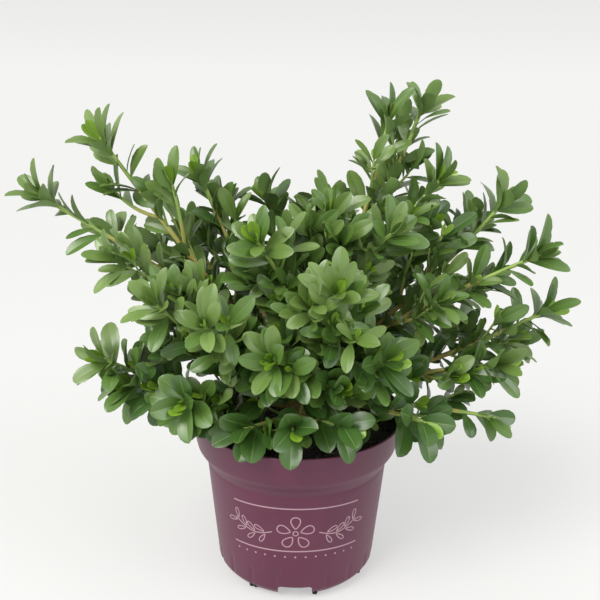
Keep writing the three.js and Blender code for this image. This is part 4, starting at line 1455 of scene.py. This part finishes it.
def twig_faces():
    """One tube's faces: rings of quads, and a fan at either end."""
    ring = list(range(TWIG_SIDES))
    pairs = list(zip(ring, ring[1:] + ring[:1]))
    faces = []
    for low in range(0, (TWIG_RINGS - 1) * TWIG_SIDES, TWIG_SIDES):
        high = low + TWIG_SIDES
        faces += [[low + a, low + b, high + b, high + a] for a, b in pairs]
    foot, top = TWIG_RINGS * TWIG_SIDES, TWIG_RINGS * TWIG_SIDES + 1
    last = (TWIG_RINGS - 1) * TWIG_SIDES
    faces += [[foot, b, a] for a, b in pairs]
    return faces + [[top, last + a, last + b] for a, b in pairs]


def twig_points(curve, start, radii, *keys):
    """One tube's points: its rings, a little uneven, and the middles of its two ends."""
    shares = np.linspace(start, 1, TWIG_RINGS)
    centres, headings = point_on(curve, shares), heading_on(curve, shares)
    turn = np.arange(TWIG_SIDES)[:, None] * math.tau / TWIG_SIDES
    rings = []
    for k, (centre, (across, over)) in enumerate(zip(centres, carried(headings))):
        swell = 1 + spread(-NODE_SWELL, NODE_SWELL, *keys, k)
        radius = between(*radii, k / (TWIG_RINGS - 1)) * swell
        rings.append(centre + radius * (np.cos(turn) * across + np.sin(turn) * over))
    return np.vstack([*rings, centres[:1], centres[-1:] + headings[-1] * radii[1]])


def add_twig(curve, start, kind, *keys):
    """One more twig of a kind, with the material of each of its faces."""
    radii, ages = kind
    twigs.append(twig_points(curve, start, radii, *keys))
    twig_kinds.append(np.repeat([*ages, ages[0], ages[-1]], TWIG_SIDES))


twigs, twig_kinds = [], []
for path in paths:
    start = 0 if path.parent else path.stem_from - INTO_BOUGH
    add_twig(path.curve, start, LEADER, path.number, 51)
    for k, side in enumerate(path.side_curves):
        add_twig(side, 0, SIDE_TWIG, path.number, 52, k)
    for k, twig in path.fine:
        add_twig(twig, 0, FINE_TWIG, path.number, 53, k)
twig_materials = [new_material(name, colour, 0.6)[0] for name, colour in TWIG_COLOURS.items()]
twig_mesh = joined("twigs", np.array(twigs), twig_faces(), twig_kinds)
add_piece("twigs", twig_mesh, twig_materials, masses)

# %% Buds
BUD_LENGTH, BUD_RADIUS = 5.2, 1.5
BUD_POINT = 0.75


def bud_points(curve, size):
    """The ball drawn out to a point along the shoot's tip."""
    heading = heading_on(curve, 1.0)
    across, over = frame_at(heading)
    along = ball_points[:, 2] * 0.5 + 0.5
    slim = 1 - BUD_POINT * along ** 2
    local = (ball_points[:, 0] * slim * BUD_RADIUS, ball_points[:, 1] * slim * BUD_RADIUS,
             along * BUD_LENGTH)
    axes = (across, over, heading)
    return curve[2] + size * sum(part[:, None] * axis for part, axis in zip(local, axes))


buds = np.array([bud_points(curve, strength) for _, curve, _, strength in tips])
bud_green, _, _ = new_material("green azalea bud", "#86a850", 0.55)
bud_mesh = joined("buds", buds, ball_faces, np.zeros((len(buds), len(ball_faces)), int))
add_piece("buds", bud_mesh, [bud_green], masses)

# %% [markdown]
# ## Stem and boughs
# The stem and the boughs are the only old wood on so young a shrub: thin, rough, grey-brown bark
# with shallow wrinkles. Each limb starts as a circle that is extruded ring by ring along its
# curve, which is how one would model it by hand. The relief is real: every point is then moved
# by a noise drawn out along the limb. A finer bump in the material adds the grain.

# %% Sweep the limbs
STEM_SIDES, BOUGH_SIDES = 28, 14
BOUGH_RING_STEP = 2.4
STEM_STEPS = 37
BARK_WRINKLE = 1.7
BARK_RELIEF = 0.16
# The stem's height over the peat and its radius there, from its flare to its top.
STEM_RINGS = ((-2.5, 12.4), (0, 11), (2, 9.9), (4.5, 8.9), (7, 8.2), (11, 7.6), (16, 7.2), (20, 7),
              (26, 6.6), (32, 6.3), (38, 6), (44, 5.7), (48, 5.3), (50.5, 4.2), (52, 2.2))


def sweep(made, sides, centres, headings, radii):
    """A closed limb: a circle extruded from ring to ring and capped at both ends."""
    places = []
    for centre, heading, radius, square in zip(centres, headings, radii, carried(headings)):
        turn = Matrix([Vector(axis * radius) for axis in (*square, heading)]).transposed()
        places.append(Matrix.Translation(Vector(centre)) @ turn.to_4x4())
    ring = bmesh.ops.create_circle(made, segments=sides, radius=1, matrix=places[0])
    edges = list({edge for vertex in ring["verts"] for edge in vertex.link_edges})
    bmesh.ops.contextual_create(made, geom=edges)
    for before, after in zip(places, places[1:]):
        grown_ring = bmesh.ops.extrude_edge_only(made, edges=edges)["geom"]
        verts = [each for each in grown_ring if isinstance(each, bmesh.types.BMVert)]
        ring_edges = [each for each in grown_ring if isinstance(each, bmesh.types.BMEdge)]
        edges = [edge for edge in ring_edges if all(end in verts for end in edge.verts)]
        bmesh.ops.transform(made, matrix=after @ before.inverted(), verts=verts)
    bmesh.ops.contextual_create(made, geom=edges)


def roughen(made, relief):
    """Moves every point along its normal by a noise with long wrinkles up the limb."""
    made.normal_update()
    for vertex in made.verts:
        place = Vector((vertex.co.x, vertex.co.y, vertex.co.z * 0.3)) / BARK_WRINKLE
        vertex.co += vertex.normal * relief * (noise.noise(place) + 0.5 * noise.noise(place * 2.7))


stem_bm = bmesh.new()
knots, knot_radii = zip(*STEM_RINGS)
heights = np.linspace(knots[0], knots[-1], STEM_STEPS)
stem_centres = [np.array([0.0, 0.0, STEM_BASE + height]) for height in heights]
sweep(stem_bm, STEM_SIDES, stem_centres, [UP] * STEM_STEPS, np.interp(heights, knots, knot_radii))
roughen(stem_bm, 2.5 * BARK_RELIEF)
bough_bm = bmesh.new()
for path in boughs:
    rings = max(2, round(length_of(path.curve) * BOUGH_SHARE / BOUGH_RING_STEP))
    shares = np.linspace(0, BOUGH_SHARE, rings)
    radii = np.linspace(BOUGH_FOOT_RADIUS, BOUGH_TIP_RADIUS, rings)
    centres, headings = point_on(path.curve, shares), heading_on(path.curve, shares)
    sweep(bough_bm, BOUGH_SIDES, centres, headings, radii)
roughen(bough_bm, BARK_RELIEF)
print("stem and boughs:", len(stem_bm.verts) + len(bough_bm.verts), "points")

# %% Bark's material
BARK_GRAIN = 0.9
BARK_PATCH = 6


def azalea_bark():
    # Thin young bark: dry and matt, tan where it is new and grey-brown where it has weathered.
    material, tree, shader = new_material("azalea bark", "#7a6142", 0.85)
    place = millimetres(tree).outputs["Vector"]
    patch = add_node(tree, "ShaderNodeTexNoise",
                     {"Vector": place, "Scale": 1 / BARK_PATCH, "Detail": 4})
    drawn = add_node(tree, "ShaderNodeMapping", {"Vector": place, "Scale": (1, 1, 0.25)})
    grain = add_node(tree, "ShaderNodeTexNoise",
                     {"Vector": drawn.outputs["Vector"], "Scale": 1 / BARK_GRAIN, "Detail": 4})
    weathered = mix_colours(tree, patch.outputs["Fac"], "#948450", "#b4a266")
    darker = add_node(tree, "ShaderNodeMapRange", {"Value": grain.outputs["Fac"], "From Min": 0.45,
                                                   "From Max": 0.62, "To Max": 0.75})
    colour = mix_colours(tree, darker.outputs["Result"], weathered, "#685c3a")
    tree.links.new(colour, shader.inputs["Base Color"])
    bump = add_node(tree, "ShaderNodeBump",
                    {"Height": grain.outputs["Fac"], "Strength": 0.6, "Distance": 0.3 * MM})
    tree.links.new(bump.outputs["Normal"], shader.inputs["Normal"])
    return material


bark = azalea_bark()
add_piece("stem_bark", mesh_from("stem_bark", stem_bm), [bark], ["main_stem"])
add_piece("bough_bark", mesh_from("bough_bark", bough_bm), [bark],
          ["bough_" + path.name for path in boughs])

# %% [markdown]
# ## Sizes
# The dressed model must keep the size of the solids, whose box is printed at the end.

# %% Print the solids' box and finish
print("CAD box in mm:", [round(value / MM, 1) for value in (*cad_low, *cad_high)])
